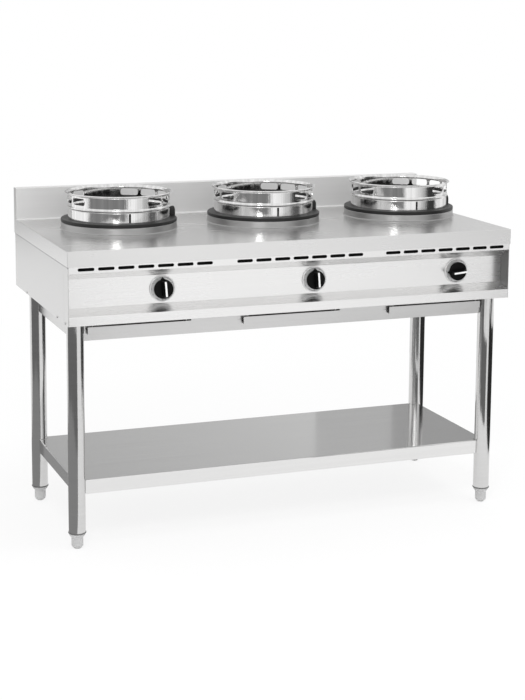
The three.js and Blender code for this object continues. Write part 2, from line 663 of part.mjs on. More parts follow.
/** Round knob with a pointed nub at the top of its base and a grip bar across its face. */
function knob() {
  const { radius, back, face, ridge, bore } = KNOB;
  const disc = turnedToFront([
    [0, back], [radius, back], [radius, face - 2], [radius - 2, face], [0, face],
  ], SIDES.dial, 0, RECESS_Y, TAP_Z);
  const nub = outline([[-7.5, radius - 3], [7.5, radius - 3], [1.2, radius + 6], [-1.2, radius + 6]]);
  const pointer = prism(nub, face - back - 1, [X, Z, MINUS_Y], [0, RECESS_Y - back - 0.5, TAP_Z]);
  const section = outline([
    [-8, face - 2], [8, face - 2], [8, face + 1], [4.2, ridge - 1.5], [2.6, ridge], [-2.6, ridge],
    [-4.2, ridge - 1.5], [-8, face + 1],
  ]);
  const length = 2 * radius;
  const bar = prism(section, length, [X, MINUS_Y, [0, 0, -1]], [0, RECESS_Y, TAP_Z + radius]);
  const ends = turnedToFront([
    [0, face - 3], [radius - 1, face - 3], [radius - 5, ridge + 1], [0, ridge + 1],
  ], SIDES.dial, 0, RECESS_Y, TAP_Z);
  const hole = frontDisc(bore, back - 1, SPINDLE_FRONT + 1, 0, RECESS_Y, TAP_Z);
  return cut(join(disc, pointer, bar.intersect(ends)), hole);
}

/** Tap spindle, with a flat along its front end for the knob. */
function tapSpindle() {
  const bar = frontDisc(SPINDLE_RADIUS, RECESS_Y - SPINDLE_END_Y, SPINDLE_FRONT, 0, RECESS_Y, TAP_Z);
  const flatY = RECESS_Y - KNOB.back - 1;
  return cut(bar, block(-8, 8, flatY - 30, flatY, TAP_Z + SPINDLE_RADIUS - 1.2, TAP_Z + 8));
}

/** Push stem behind the spindle. It opens the flame-failure valve when the knob is pressed. */
const pushStem = () => frontDisc(STEM_RADIUS, -36, 0, 0, SPINDLE_END_Y + 2 * GAP, TAP_Z);

// ---------------------------------------------------------------- drip tray

/** Shallow pan with side flanges that ride on the runners and a front lip that hangs before the apron. */
function dripTray() {
  const { lipWidth, lipTopZ, lipBottomZ, panHalf, floorZ, topZ, flange } = TRAY;
  const front = TRAY_FRONT_Y;
  const pan = cut(
    block(-panHalf, panHalf, front, TRAY_BACK_Y, floorZ, topZ),
    block(-panHalf + SHEET, panHalf - SHEET, front + SHEET, TRAY_BACK_Y - SHEET, floorZ + SHEET, topZ + SMALL),
    block(-panHalf - SMALL, panHalf + SMALL, front - SMALL, front + SHEET + 1, lipTopZ - 1, topZ + SMALL),
  );
  const [flangeBackY, flangeTopZ] = [TRAY_BACK_Y - SHEET, topZ - GAP];
  const flanges = [-1, 1].map((side) => sheet(
    side * (panHalf - 1), side * (panHalf + flange), TRAY_FLANGE_Y, flangeBackY, flangeTopZ - SHEET, flangeTopZ,
  ));
  const lip = folded([
    [front - SHEET, lipTopZ], [front - SHEET, lipBottomZ], [front + 8, lipBottomZ],
  ], SHEET + 0.5);
  return join(pan, alongX(lip, -lipWidth / 2, lipWidth / 2), ...flanges);
}

// ---------------------------------------------------------------- assembly

const casing = new THREE.Group();
add(casing, 'worktop', worktop(), FINISH.brushed());
add(casing, 'control_panel', controlPanel(), FINISH.satin());
add(casing, 'left_side_panel', sidePanel(-1), FINISH.satin());
add(casing, 'right_side_panel', sidePanel(1), FINISH.satin());
add(casing, 'back_panel', backPanel(), FINISH.galvanised());
for (let i = 0; i < STATIONS - 1; i++) add(casing, `floor_channel_${i + 1}`, floorChannel(i), FINISH.galvanised());
add(casing, 'burner_crossbar', burnerCrossbar(), FINISH.galvanised());
add(casing, 'gas_manifold', gasManifold(), FINISH.galvanised());
group.add(casing);

const stand = new THREE.Group();
add(stand, 'front_rail', frontRail(), FINISH.satin());
add(stand, 'rear_rail', crossRail(LEG_BACK_Y, -1), FINISH.satin());
add(stand, 'left_rail', sideRail(-1), FINISH.satin());
add(stand, 'right_rail', sideRail(1), FINISH.satin());
add(stand, 'undershelf', undershelf(), FINISH.mirror());
for (const [corner, x, y] of LEGS) {
  add(stand, `leg_${corner}`, leg(), FINISH.tube()).position.set(x, y, 0);
  add(stand, `foot_${corner}`, foot(), FINISH.foot()).position.set(x, y, 0);
}
group.add(stand);

for (let i = 0; i < STATIONS; i++) {
  const number = i + 1;

  const burner = new THREE.Group();
  burner.position.set(stationX(i, RING_OFFSET), RING_Y, 0);
  add(burner, `ring_base_${number}`, ringBase(), FINISH.castIron());
  add(burner, `wok_ring_${number}`, wokRing(), FINISH.mirror());
  add(burner, `burner_well_${number}`, burnerWell(), FINISH.brushed());
  add(burner, `burner_body_${number}`, burnerBody(), FINISH.castIron());
  add(burner, `burner_cap_${number}`, burnerCap(), FINISH.castIron());
  add(burner, `pilot_burner_${number}`, pilotBurner(), FINISH.brass());
  group.add(burner);

  const control = new THREE.Group();
  control.position.x = stationX(i, KNOB_OFFSET);
  add(control, `gas_tap_${number}`, gasTap(), FINISH.brass());
  add(control, `push_stem_${number}`, pushStem(), FINISH.brass());
  add(control, `dial_bezel_${number}`, dialBezel(), FINISH.bezel());
  const turning = new THREE.Group();
  turning.position.z = TAP_Z;
  turning.rotation.y = -THREE.MathUtils.degToRad(KNOB_TURNED_DEG[i]);
  const spindle = add(turning, `tap_spindle_${number}`, tapSpindle(), FINISH.brass());
  const grip = add(turning, `knob_${number}`, knob(), FINISH.knob());
  spindle.position.z = -TAP_Z;
  grip.position.z = -TAP_Z;
  control.add(turning);
  group.add(control);

  const tray = add(group, `drip_tray_${number}`, dripTray(), FINISH.brushed());
  tray.position.x = stationX(i, TRAY_OFFSET);
}

export default group;
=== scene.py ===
"""Looks of a three-station gas wok range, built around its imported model.

Shapes are written in millimetres and degrees. Lights, cards and materials are in metres.
"""

import logging
import math
from dataclasses import dataclass
from enum import Enum
from itertools import chain
from typing import Callable, Iterable, Sequence

import bmesh
import bpy
import numpy as np
from mathutils import Matrix, Vector
from mathutils.bvhtree import BVHTree


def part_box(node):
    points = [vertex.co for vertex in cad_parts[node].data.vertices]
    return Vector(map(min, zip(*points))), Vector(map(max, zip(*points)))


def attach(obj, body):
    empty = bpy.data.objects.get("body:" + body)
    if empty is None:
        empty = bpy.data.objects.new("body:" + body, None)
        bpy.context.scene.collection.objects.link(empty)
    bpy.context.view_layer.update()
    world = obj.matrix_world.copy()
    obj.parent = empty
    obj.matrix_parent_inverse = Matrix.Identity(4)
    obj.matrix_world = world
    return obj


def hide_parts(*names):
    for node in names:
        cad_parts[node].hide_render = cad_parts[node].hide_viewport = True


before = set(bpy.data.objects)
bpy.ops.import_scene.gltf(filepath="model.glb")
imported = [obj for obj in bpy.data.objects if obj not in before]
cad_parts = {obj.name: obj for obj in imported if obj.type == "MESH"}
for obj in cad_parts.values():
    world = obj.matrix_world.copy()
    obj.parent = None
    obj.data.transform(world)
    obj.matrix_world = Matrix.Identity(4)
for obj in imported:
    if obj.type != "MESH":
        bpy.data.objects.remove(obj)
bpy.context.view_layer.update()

LOG = logging.getLogger("wok_range")
Array = np.ndarray
Place = Callable[[Array, Array, Array], Array]
MM = 0.001
MERGE_DISTANCE = 2e-6
NODE_MERGE_DISTANCE = 1e-5
STATIONS = (1, 2, 3)
CORNERS = ("front_left", "front_right", "back_left", "back_right")


# ---------------------------------------------------------------- surfaces on grids

@dataclass
class Patch:
    """Part of a surface: points as rows of x, y, z, quads as rows of four indices, and its finish's number."""

    points: Array
    quads: Array
    finish: int = 0


def lattice(rows: int, columns: int, ring: bool = False) -> Array:
    """Quads of a grid whose points run row by row.

    Args:
        rows: Points in the first direction.
        columns: Points in the second direction.
        ring: Whether the last column joins the first.

    Returns:
        One row of four indices for each quad: a point, its right neighbour, and the two above.
    """
    ridge_line = np.arange(rows * columns).reshape(rows, columns)
    if ring:
        ridge_line = np.hstack([ridge_line, ridge_line[:, :1]])
    corners = (ridge_line[:-1, :-1], ridge_line[:-1, 1:], ridge_line[1:, 1:], ridge_line[1:, :-1])
    return np.stack([corner.ravel() for corner in corners], axis=1)


def rounded(corners: Sequence[Sequence[float]], radius: float | Sequence[float], steps: int = 6) -> Array:
    """An open path whose inner corners are arcs.

    Each arc touches both legs of its corner at radius * tan(turn / 2) from it, and its points stand at equal
    angles round a centre that lies one radius off both legs.

    Args:
        corners: The path's corners, in order, as (u, v).
        radius: One radius for every inner corner, or one for each of them.
        steps: Segments in an arc.

    Returns:
        The path's points, one row each.
    """
    path = np.asarray(corners, float)
    radii = np.broadcast_to(np.asarray(radius, float), len(path) - 2)
    parts = [path[:1]]
    for before, corner, after, r in zip(path[:-2], path[1:-1], path[2:], radii):
        incoming = (corner - before) / np.linalg.norm(corner - before)
        outgoing = (after - corner) / np.linalg.norm(after - corner)
        turn = math.atan2(incoming[0] * outgoing[1] - incoming[1] * outgoing[0], float(incoming @ outgoing))
        start = corner - incoming * r * math.tan(abs(turn) / 2)
        side = np.array([-incoming[1], incoming[0]]) * math.copysign(1.0, turn)
        angle = np.linspace(0.0, abs(turn), steps + 1)[:, None]
        parts.append(start + incoming * r * np.sin(angle) + side * r * (1 - np.cos(angle)))
    parts.append(path[-1:])
    return np.vstack(parts)


def round_angles(count: int) -> Array:
    """Equal angles round a full turn, in radians."""
    return np.arange(count) * (2 * math.pi / count)


def upright(x: float, y: float) -> Place:
    """Puts (across, ahead, height) about an upright axis into x, y and z."""
    return lambda across, ahead, height: np.stack([x + across, y + ahead, height], -1)


def facing_front(x: float, z: float, y: float, turn_deg: float = 0.0) -> Place:
    """Puts (across, up, out) on a plane that faces the front into x, y and z, turned anticlockwise as seen there."""
    c, s = math.cos(math.radians(turn_deg)), math.sin(math.radians(turn_deg))
    return lambda across, up, out: np.stack([x + across * c - up * s, y - out, z + across * s + up * c], -1)


def revolved(profile: Array, angles: Array, place: Place, closed: bool = False, finish: int = 0) -> Patch:
    """A profile turned about an axis: across = r cos a, ahead = r sin a, height = h.

    Args:
        profile: Rows of (radius, height).
        angles: The angles of the columns, in radians, without a repeated last one.
        place: Puts arrays of across, ahead and height into x, y and z.
        closed: Whether the profile's end joins its start.
        finish: Number of the finish.

    Returns:
        The surface of revolution.
    """
    section = np.vstack([profile, profile[:1]]) if closed else np.asarray(profile, float)
    radius, height = section[:, :1], section[:, 1:]
    points = place(radius * np.cos(angles), radius * np.sin(angles), height * np.ones_like(angles))
    return Patch(points.reshape(-1, 3), lattice(len(section), len(angles), ring=True), finish)


def carried(path: Array, stations: Array, place: Place, finish: int = 0) -> Patch:
    """A path in (u, v) carried along a straight line, one copy at each station.

    Args:
        path: Rows of (u, v).
        stations: Distances along the line.
        place: Puts arrays of u, v and distance into x, y and z.
        finish: Number of the finish.

    Returns:
        The swept surface.
    """
    u, w = np.meshgrid(path[:, 0], stations, indexing="ij")
    v = np.broadcast_to(path[:, 1:], u.shape)
    return Patch(place(u, v, w).reshape(-1, 3), lattice(*u.shape), finish)


def along_x(y: Array, z: Array, x: Array) -> Array:
    """Places a path in (y, z) that is carried along X."""
    return np.stack([x, y, z], -1)


def face_of(points: Array, finish: int = 0) -> Patch:
    """One flat face with the given corners, in order."""
    return Patch(points, np.arange(len(points))[None, :], finish)


@dataclass(frozen=True)
class Slot:
    """A rounded slot in a strip: its middle and half sizes, and the half sizes of the cell of strip round it."""

    u: float
    v: float
    half_length: float
    half_height: float
    corner: float
    cell_u: float
    cell_v: float

    CURVE_SHARES = (0.25, 0.5, 0.75)

    def _divisions(self, half: float, cell: float) -> Array:
        """Grid lines of the cell in one direction, closest together where the slot's corners are."""
        flat = 1 - self.corner / half
        bend = flat + (1 - flat) * np.sin(np.radians(90) * np.array(self.CURVE_SHARES))
        positive = np.concatenate([[flat], bend, [1.0]])
        return cell * np.concatenate([-positive[::-1], positive])

    def columns(self) -> Array:
        """Grid lines along the strip."""
        return self.u + self._divisions(self.half_length, self.cell_u)

    def rows(self) -> Array:
        """Grid lines across the strip."""
        return self.v + self._divisions(self.half_height, self.cell_v)

    def outline(self, points: Array) -> Array:
        """Draws points on the cell's edge in to the slot's edge.

        A point is scaled from the cell to the slot. Where that falls in a corner square, it moves along the ray
        from the corner arc's centre until it is one corner radius away.

        Args:
            points: Rows of (u, v) on the cell's edge.

        Returns:
            The matching points on the slot's edge.
        """
        scale = np.array([self.half_length / self.cell_u, self.half_height / self.cell_v])
        middle = np.array([self.u, self.v])
        p = (points - middle) * scale
        core = np.array([self.half_length, self.half_height]) - self.corner
        centre = np.clip(p, -core, core)
        ray = p - centre
        reach = np.linalg.norm(ray, axis=1, keepdims=True)
        inside = np.all(np.abs(p) >= core - 1e-12, axis=1, keepdims=True) & (reach > 0)
        on_arc = centre + ray * self.corner / np.where(reach > 0, reach, 1)
        return middle + np.where(inside, on_arc, p)


def pierced(columns: Array, rows: Array, slots: Sequence[Slot], missing: Sequence[tuple] = ()) -> tuple[Array, Array]:
    """A flat strip with slots.

    The strip is a grid. The cells inside each slot's rectangle are taken out, and a band of quads joins the
    rectangle's edge to the slot's rounded edge, through one loop half way between them.

    Args:
        columns: Grid lines along the strip. The lines of the slots' cells are added.
        rows: Grid lines across the strip.
        slots: The slots.
        missing: Rectangles (u0, u1, v0, v1) left open.

    Returns:
        Points as rows of (u, v), and quads.
    """
    def lines(values: Iterable[Array]) -> Array:
        every = np.sort(np.concatenate(list(values)))
        return every[np.concatenate([[True], np.diff(every) > 1e-7])]

    cuts = [box for box in missing]
    u = lines([columns, *(s.columns() for s in slots), *(np.array(c[:2]) for c in cuts)])
    v = lines([rows, *(s.rows() for s in slots[:1]), *(np.array(c[2:]) for c in cuts)])
    grid = np.stack(np.meshgrid(u, v, indexing="ij"), -1)
    quads = lattice(len(u), len(v)).reshape(len(u) - 1, len(v) - 1, 4)[..., ::-1]
    middle_u, middle_v = (u[1:] + u[:-1]) / 2, (v[1:] + v[:-1]) / 2
    keep = np.ones((len(u) - 1, len(v) - 1), bool)
    for s in slots:
        keep &= ~((np.abs(middle_u - s.u) < s.cell_u)[:, None] & (np.abs(middle_v - s.v) < s.cell_v)[None, :])
    for u0, u1, v0, v1 in cuts:
        inside_u = (middle_u > u0) & (middle_u < u1)
        inside_v = (middle_v > v0) & (middle_v < v1)
        keep &= ~(inside_u[:, None] & inside_v[None, :])
    points, faces = [grid.reshape(-1, 2)], [quads[keep]]
    count = len(points[0])
    for s in slots:
        i = np.flatnonzero(np.abs(u - s.u) < s.cell_u + 1e-7)
        j = np.flatnonzero(np.abs(v - s.v) < s.cell_v + 1e-7)
        edge = np.concatenate([
            i[:-1] * len(v) + j[0], i[-1] * len(v) + j[:-1],
            i[:0:-1] * len(v) + j[-1], i[0] * len(v) + j[:0:-1],
        ])
        outer = points[0][edge]
        inner = s.outline(outer)
        loop = np.arange(len(edge))
        ids = np.stack([edge, count + loop, count + len(edge) + loop])
        points += [(outer + 2 * inner) / 3, inner]
        after = np.roll(ids, -1, axis=1)
        faces.append(np.stack([ids[:-1], after[:-1], after[1:], ids[1:]], -1).reshape(-1, 4))
        count += 2 * len(edge)
    return np.vstack(points), np.vstack(faces)


# ---------------------------------------------------------------- from patches to pieces

@dataclass(frozen=True)
class Build:
    """How a set of patches becomes a mesh.

    The folds are rounded first, then the sheet gets its wall on the inside, then the remaining edges are eased.
    An open sheet needs a probe: a point in the open that its nearest face looks at.
    """

    bend: float = 0.0
    wall: float = 0.0
    ease: float = 0.0
    probe: tuple[float, float, float] | None = None
    caps: bool = False
    sharp_deg: float = 35.0


class Piece:
    """One visible object of the range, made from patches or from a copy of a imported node."""

    def __init__(self, name: str, body: str, *finishes: "Finish") -> None:
        """Keeps the piece's name, the body that it moves with, and its finishes, the first for most of it."""
        self.name = name
        self.body = body
        self.finishes = finishes

    def from_patches(self, patches: Sequence[Patch], build: Build, *replaces: str) -> bpy.types.Object:
        """Makes the object.

        Args:
            patches: The surfaces, in millimetres.
            build: Folds, wall, edges and probe.
            replaces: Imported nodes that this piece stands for.

        Returns:
            The finished object.
        """
        starts = np.cumsum([0] + [len(p.points) for p in patches[:-1]])
        faces = list(chain.from_iterable((p.quads + start).tolist() for p, start in zip(patches, starts)))
        mesh = bpy.data.meshes.new(self.name)
        mesh.from_pydata(np.vstack([p.points for p in patches]) * MM, [], faces)
        self._give_finishes(mesh)
        numbers = np.repeat([p.finish for p in patches], [len(p.quads) for p in patches])
        mesh.polygons.foreach_set("material_index", numbers)
        self._clean(mesh, build)
        return self._dress(mesh, build, replaces)

    def from_node(self, node: str, ease: float) -> bpy.types.Object:
        """Makes a softened stand-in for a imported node, from a copy of its mesh with merged points.

        Args:
            node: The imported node.
            ease: How wide its edges are eased.

        Returns:
            The finished object.
        """
        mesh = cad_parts[node].data.copy()
        self._give_finishes(mesh)
        shape = bmesh.new()
        shape.from_mesh(mesh)
        bmesh.ops.remove_doubles(shape, verts=shape.verts, dist=NODE_MERGE_DISTANCE)
        bmesh.ops.dissolve_limit(shape, angle_limit=math.radians(0.5), verts=shape.verts, edges=shape.edges)
        bmesh.ops.recalc_face_normals(shape, faces=shape.faces)
        shape.to_mesh(mesh)
        shape.free()
        return self._dress(mesh, Build(ease=ease), [node])

    def _give_finishes(self, mesh: bpy.types.Mesh) -> None:
        """Gives a mesh one material for each finish. All faces get the first."""
        mesh.materials.clear()
        for finish in self.finishes:
            mesh.materials.append(finish.material())

    @staticmethod
    def _clean(mesh: bpy.types.Mesh, build: Build) -> None:
        """Merges points that coincide, closes the ends where asked, and turns the faces outward."""
        shape = bmesh.new()
        shape.from_mesh(mesh)
        bmesh.ops.remove_doubles(shape, verts=shape.verts, dist=MERGE_DISTANCE)
        if build.caps:
            bmesh.ops.holes_fill(shape, edges=[edge for edge in shape.edges if edge.is_boundary])
        bmesh.ops.recalc_face_normals(shape, faces=shape.faces)
        if build.probe:
            probe = Vector(build.probe) * MM
            place, normal, _, _ = BVHTree.FromBMesh(shape).find_nearest(probe)
            if normal.dot(probe - place) < 0:
                bmesh.ops.reverse_faces(shape, faces=shape.faces)
        shape.to_mesh(mesh)
        shape.free()

    @staticmethod
    def _round_edges(piece: bpy.types.Object, name: str, radius: float, sharp_deg: float) -> None:
        """Rounds every edge that turns by more than an angle."""
        ease = piece.modifiers.new(name, "BEVEL")
        ease.width = radius * MM
        ease.segments = 4
        ease.limit_method = "ANGLE"
        ease.angle_limit = math.radians(sharp_deg)

    def _dress(self, mesh: bpy.types.Mesh, build: Build, replaces: Sequence[str]) -> bpy.types.Object:
        """Adds folds, wall, eased edges and shading, and lets the piece ride."""
        piece = bpy.data.objects.new(self.name, mesh)
        bpy.context.scene.collection.objects.link(piece)
        if build.bend:
            self._round_edges(piece, "folds", build.bend, build.sharp_deg)
        if build.wall:
            wall = piece.modifiers.new("wall", "SOLIDIFY")
            wall.thickness = build.wall * MM
            wall.offset = -1
            wall.use_even_offset = True
        if build.ease:
            self._round_edges(piece, "eased_edges", build.ease, build.sharp_deg)
        if piece.modifiers:
            finished = bpy.data.meshes.new_from_object(piece.evaluated_get(bpy.context.evaluated_depsgraph_get()))
            piece.modifiers.clear()
            piece.data = finished
            bpy.data.meshes.remove(mesh)
            finished.name = self.name
        piece.data.shade_smooth()
        piece.data.set_sharp_from_angle(angle=math.radians(build.sharp_deg))
        weighted = piece.modifiers.new("even_shading", "WEIGHTED_NORMAL")
        weighted.keep_sharp = True
        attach(piece, self.body)
        if replaces:
            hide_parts(*replaces)
        LOG.info("%s: %d faces, rides on %s", self.name, len(piece.data.polygons), self.body)
        return piece


def dress_node(node: str, finish: "Finish") -> None:
    """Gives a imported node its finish. Its mesh and place stay as they are."""
    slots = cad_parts[node].material_slots
    if not slots:
        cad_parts[node].data.materials.append(finish.material())
    for slot in slots:
        slot.link = "OBJECT"
        slot.material = finish.material()
    LOG.info("%s: packed shape, %s", node, finish.name)


# ---------------------------------------------------------------- shader writing

class Signal:
    """A number or vector that a node gives out. Operators on numbers add Math nodes."""

    def __init__(self, recipe: "Recipe", socket: bpy.types.NodeSocket) -> None:
        """Wraps an output socket of a recipe's node."""
        self.recipe = recipe
        self.socket = socket

    def _with(self, operation: str, *terms: "Signal | float") -> "Signal":
        """Adds one Math node on the given terms."""
        return self.recipe.node("ShaderNodeMath", {"operation": operation}, dict(enumerate(terms)))

    def __add__(self, other: "Signal | float") -> "Signal":
        """self + other."""
        return self._with("ADD", self, other)

    def __radd__(self, other: float) -> "Signal":
        """other + self."""
        return self._with("ADD", other, self)

    def __sub__(self, other: "Signal | float") -> "Signal":
        """self - other."""
        return self._with("SUBTRACT", self, other)

    def __rsub__(self, other: float) -> "Signal":
        """other - self."""
        return self._with("SUBTRACT", other, self)

    def __mul__(self, other: "Signal | float") -> "Signal":
        """self * other."""
        return self._with("MULTIPLY", self, other)

    def __rmul__(self, other: float) -> "Signal":
        """other * self."""
        return self._with("MULTIPLY", other, self)

    def __truediv__(self, other: "Signal | float") -> "Signal":
        """self / other."""
        return self._with("DIVIDE", self, other)

    def __rtruediv__(self, other: float) -> "Signal":
        """other / self."""
        return self._with("DIVIDE", other, self)

    def __neg__(self) -> "Signal":
        """self with its sign turned."""
        return self._with("MULTIPLY", self, -1.0)

    def __pow__(self, other: "Signal | float") -> "Signal":
        """self to the power of other."""
        return self._with("POWER", self, other)

    def __mod__(self, other: "Signal | float") -> "Signal":
        """self modulo other, always positive."""
        return self._with("FLOORED_MODULO", self, other)

    def __abs__(self) -> "Signal":
        """Its size without its sign."""
        return self._with("ABSOLUTE", self)

    def below(self, other: "Signal | float") -> "Signal":
        """1 where self is less than other, or else 0."""
        return self._with("LESS_THAN", self, other)

    def angle_from(self, other: "Signal") -> "Signal":
        """The angle whose tangent is self / other, in radians."""
        return self._with("ARCTAN2", self, other)

    def smaller(self, other: "Signal | float") -> "Signal":
        """The smaller of self and other."""
        return self._with("MINIMUM", self, other)

    def larger(self, other: "Signal | float") -> "Signal":
        """The larger of self and other."""
        return self._with("MAXIMUM", self, other)


class Recipe:
    """A node material while it is being written."""

    def __init__(self, name: str) -> None:
        """Starts with an empty tree, a Principled shader and the output."""
        self.material = bpy.data.materials.new(name)
        self.material.use_nodes = True
        self.tree = self.material.node_tree
        self.tree.nodes.clear()
        self.output = self.tree.nodes.new("ShaderNodeOutputMaterial")
        self.shader = self.tree.nodes.new("ShaderNodeBsdfPrincipled")
        self.tree.links.new(self.shader.outputs[0], self.output.inputs[0])

    def node(self, kind: str, settings: dict | None = None, inputs: dict | None = None, out: int | str = 0) -> Signal:
        """Adds one node.

        Args:
            kind: The node's type.
            settings: Its own properties, set first. "stops" gives a ramp's stops as (place, grey).
            inputs: A value or a Signal for each input socket, by number or name.
            out: Which output the Signal stands for.

        Returns:
            That output.
        """
        node = self.tree.nodes.new(kind)
        for key, value in (settings or {}).items():
            if key == "stops":
                self._set_stops(node.color_ramp, value)
            else:
                setattr(node, key, value)
        for key, value in (inputs or {}).items():
            if isinstance(value, Signal):
                self.tree.links.new(value.socket, node.inputs[key])
            else:
                node.inputs[key].default_value = value
        return Signal(self, node.outputs[out])

    @staticmethod
    def _set_stops(ramp: bpy.types.ColorRamp, stops: Sequence[tuple[float, float]]) -> None:
        """Gives a ramp its stops."""
        while len(ramp.elements) < len(stops):
            ramp.elements.new(0.5)
        for element, (place, grey) in zip(ramp.elements, stops):
            element.position = place
            element.color = (grey, grey, grey, 1)

    def position(self) -> tuple[Signal, Signal, Signal, Signal]:
        """Object coordinates as a vector, and their x, y and z."""
        vector = self.node("ShaderNodeTexCoord", out="Object")
        split = [self.node("ShaderNodeSeparateXYZ", inputs={0: vector}, out=axis) for axis in range(3)]
        return (vector, *split)

    def vector(self, x: Signal | float, y: Signal | float, z: Signal | float) -> Signal:
        """A vector from three numbers."""
        return self.node("ShaderNodeCombineXYZ", inputs={0: x, 1: y, 2: z})

    def noise(self, vector: Signal, scale: float = 1.0, detail: float = 2.0, roughness: float = 0.5) -> Signal:
        """Smooth noise from 0 to 1."""
        inputs = {"Vector": vector, "Scale": scale, "Detail": detail, "Roughness": roughness}
        return self.node("ShaderNodeTexNoise", {"noise_dimensions": "3D"}, inputs, "Fac")

    def mix(self, factor: Signal | float, first: "tuple | Signal", second: "tuple | Signal") -> Signal:
        """A colour between two colours."""
        inputs = {"Factor": factor, "A": first, "B": second}
        node = self.tree.nodes.new("ShaderNodeMix")
        node.data_type = "RGBA"
        wanted = {"Factor": node.inputs[0], "A": node.inputs[6], "B": node.inputs[7]}
        for key, value in inputs.items():
            if isinstance(value, Signal):
                self.tree.links.new(value.socket, wanted[key])
            else:
                wanted[key].default_value = value
        return Signal(self, node.outputs[2])

    def set(self, **sockets: "Signal | float | tuple") -> None:
        """Sets or links sockets of the Principled shader, named with _ for a space."""
        for key, value in sockets.items():
            socket = self.shader.inputs[key.replace("_", " ")]
            if isinstance(value, Signal):
                self.tree.links.new(value.socket, socket)
            else:
                socket.default_value = value

    def bump(self, height: Signal, distance: float, strength: float = 1.0) -> None:
        """Lets a height in metres times distance turn the surface's normal."""
        inputs = {"Height": height, "Distance": distance, "Strength": strength}
        self.set(Normal=self.node("ShaderNodeBump", inputs=inputs))


def grey(value: float, warmth: float = 0.0) -> tuple[float, float, float, float]:
    """A near-neutral colour; warmth above 0 leans to yellow, below 0 to blue."""
    return (value * (1 + warmth), value, value * (1 - warmth), 1.0)


class Finish:
    """A finish: a named material, written once and shared by the pieces that have it."""

    name: str
    slot: str
    _made: dict[str, bpy.types.Material] = {}

    def material(self) -> bpy.types.Material:
        """The finish's material, written at its first use."""
        if self.name not in Finish._made:
            recipe = Recipe(self.name)
            self.write(recipe)
            Finish._made[self.name] = recipe.material
        return Finish._made[self.name]

    def write(self, recipe: Recipe) -> None:
        """Writes the material's nodes."""
        raise NotImplementedError


class Grain(Enum):
    """How the fine scratches of a steel surface run: their spread along X, Y and Z, or a path round an axis."""

    ALONG_X = (0.012, 1.0, 1.0)
    ALONG_Y = (1.0, 0.012, 1.0)
    ROUND_TUBE = (0.02, 0.02, 1.0)
    ALONG_TUBE = (1.0, 1.0, 0.012)
    CIRCLES = "circles about the nearest station's axis"
    UPRIGHT = "upright lines on a wall about the nearest station's axis"


RINGS_LOW, RINGS_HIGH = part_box("wok_ring_2")
STATION_PITCH = (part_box("wok_ring_3")[0].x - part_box("wok_ring_1")[0].x) / 2
RING_X = (RINGS_LOW.x + RINGS_HIGH.x) / 2
RING_Y = (RINGS_LOW.y + RINGS_HIGH.y) / 2


def station_polar(recipe: Recipe) -> tuple[Signal, Signal, Signal]:
    """Distance from the nearest station's axis, angle about it, and height."""
    _, x, y, z = recipe.position()
    from_axis = (x + (STATION_PITCH / 2 - RING_X)) % STATION_PITCH - STATION_PITCH / 2
    ahead = y - RING_Y
    radius = (from_axis * from_axis + ahead * ahead) ** 0.5
    return radius, ahead.angle_from(from_axis), z


@dataclass(frozen=True)
class Steel(Finish):
    """Stainless sheet, brushed or polished.

    Fine scratches turn the normal a little across their run, which spreads reflections that way. Slow noise
    along the grain varies tone and gloss, and wide soft noise leaves faint wipe marks. A shadow band is a painted
    shadow: a dark line between two heights in metres, where the sheet runs up behind another.
    """

    name: str
    slot: str
    tone: float
    roughness: float
    grain: Grain
    scratches: float = 900.0
    slope: float = 0.05
    streak: float = 0.05
    wipe: float = 0.03
    wipe_scale: float = 5.0
    warmth: float = 0.004
    metallic: float = 1.0
    shadow_band: tuple[float, float] | None = None

    def write(self, recipe: Recipe) -> None:
        """Writes the material's nodes."""
        if self.grain in (Grain.CIRCLES, Grain.UPRIGHT):
            radius, angle, height = station_polar(recipe)
            arc = angle * 0.16
            along, across = (arc * 0.012, radius + height) if self.grain is Grain.CIRCLES else (height * 0.02, arc)
            run = recipe.vector(along * self.scratches, across * self.scratches, 0.0)
        else:
            stretch = Vector(self.grain.value) * self.scratches
            position = recipe.position()[0]
            run = recipe.node("ShaderNodeVectorMath", {"operation": "MULTIPLY"}, {0: position, 1: stretch})
        fine = recipe.noise(run, 1.0, 3.0, 0.6)
        broad = recipe.noise(run, 0.12, 3.0, 0.55)
        wipes = recipe.noise(recipe.position()[0], self.wipe_scale, 3.0, 0.6)
        span = min(self.tone, 1.0 - self.tone) / 2
        reach = self.tone / 2 / span
        tone = (broad - 0.5) * (2 * self.streak * reach) + (wipes - 0.5) * (self.wipe * reach) + 0.5
        dark = grey(self.tone - span, self.warmth)
        light = grey(self.tone + span, self.warmth)
        colour = recipe.mix(tone, dark, light)
        # Painted shadow: near black between the band's two heights, under the edge that overhangs this sheet.
        if self.shadow_band:
            height = recipe.position()[3]
            colour = recipe.mix(height.below(self.shadow_band[1]) * (1.0 - height.below(self.shadow_band[0])), colour, grey(0.02))
        recipe.set(Base_Color=colour, Metallic=self.metallic)
        gloss = (broad - 0.5) * (self.streak * 1.2) + (wipes - 0.5) * (self.wipe * 1.5) + self.roughness
        recipe.set(Roughness=gloss.larger(0.03))
        recipe.bump(fine, self.slope / self.scratches)


@dataclass(frozen=True)
class Casting(Finish):
    """Enamelled cast iron: nearly black, with a soft grain and slightly duller high spots."""

    name: str = "enamelled_casting"
    slot: str = "cast_iron"
    tone: float = 0.016
    roughness: float = 0.42
    grain_scale: float = 420.0
    grain_depth: float = 0.00012

    def write(self, recipe: Recipe) -> None:
        """Writes the material's nodes."""
        position = recipe.position()[0]
        grain = recipe.noise(position, self.grain_scale, 3.0, 0.6)
        cloud = recipe.noise(position, 14.0, 4.0, 0.6)
        recipe.set(Base_Color=recipe.mix(cloud, grey(self.tone * 0.7), grey(self.tone * 1.5, 0.01)))
        recipe.set(Roughness=self.roughness + (cloud - 0.5) * 0.2, Specular_IOR_Level=0.25)
        recipe.bump(grain, self.grain_depth)


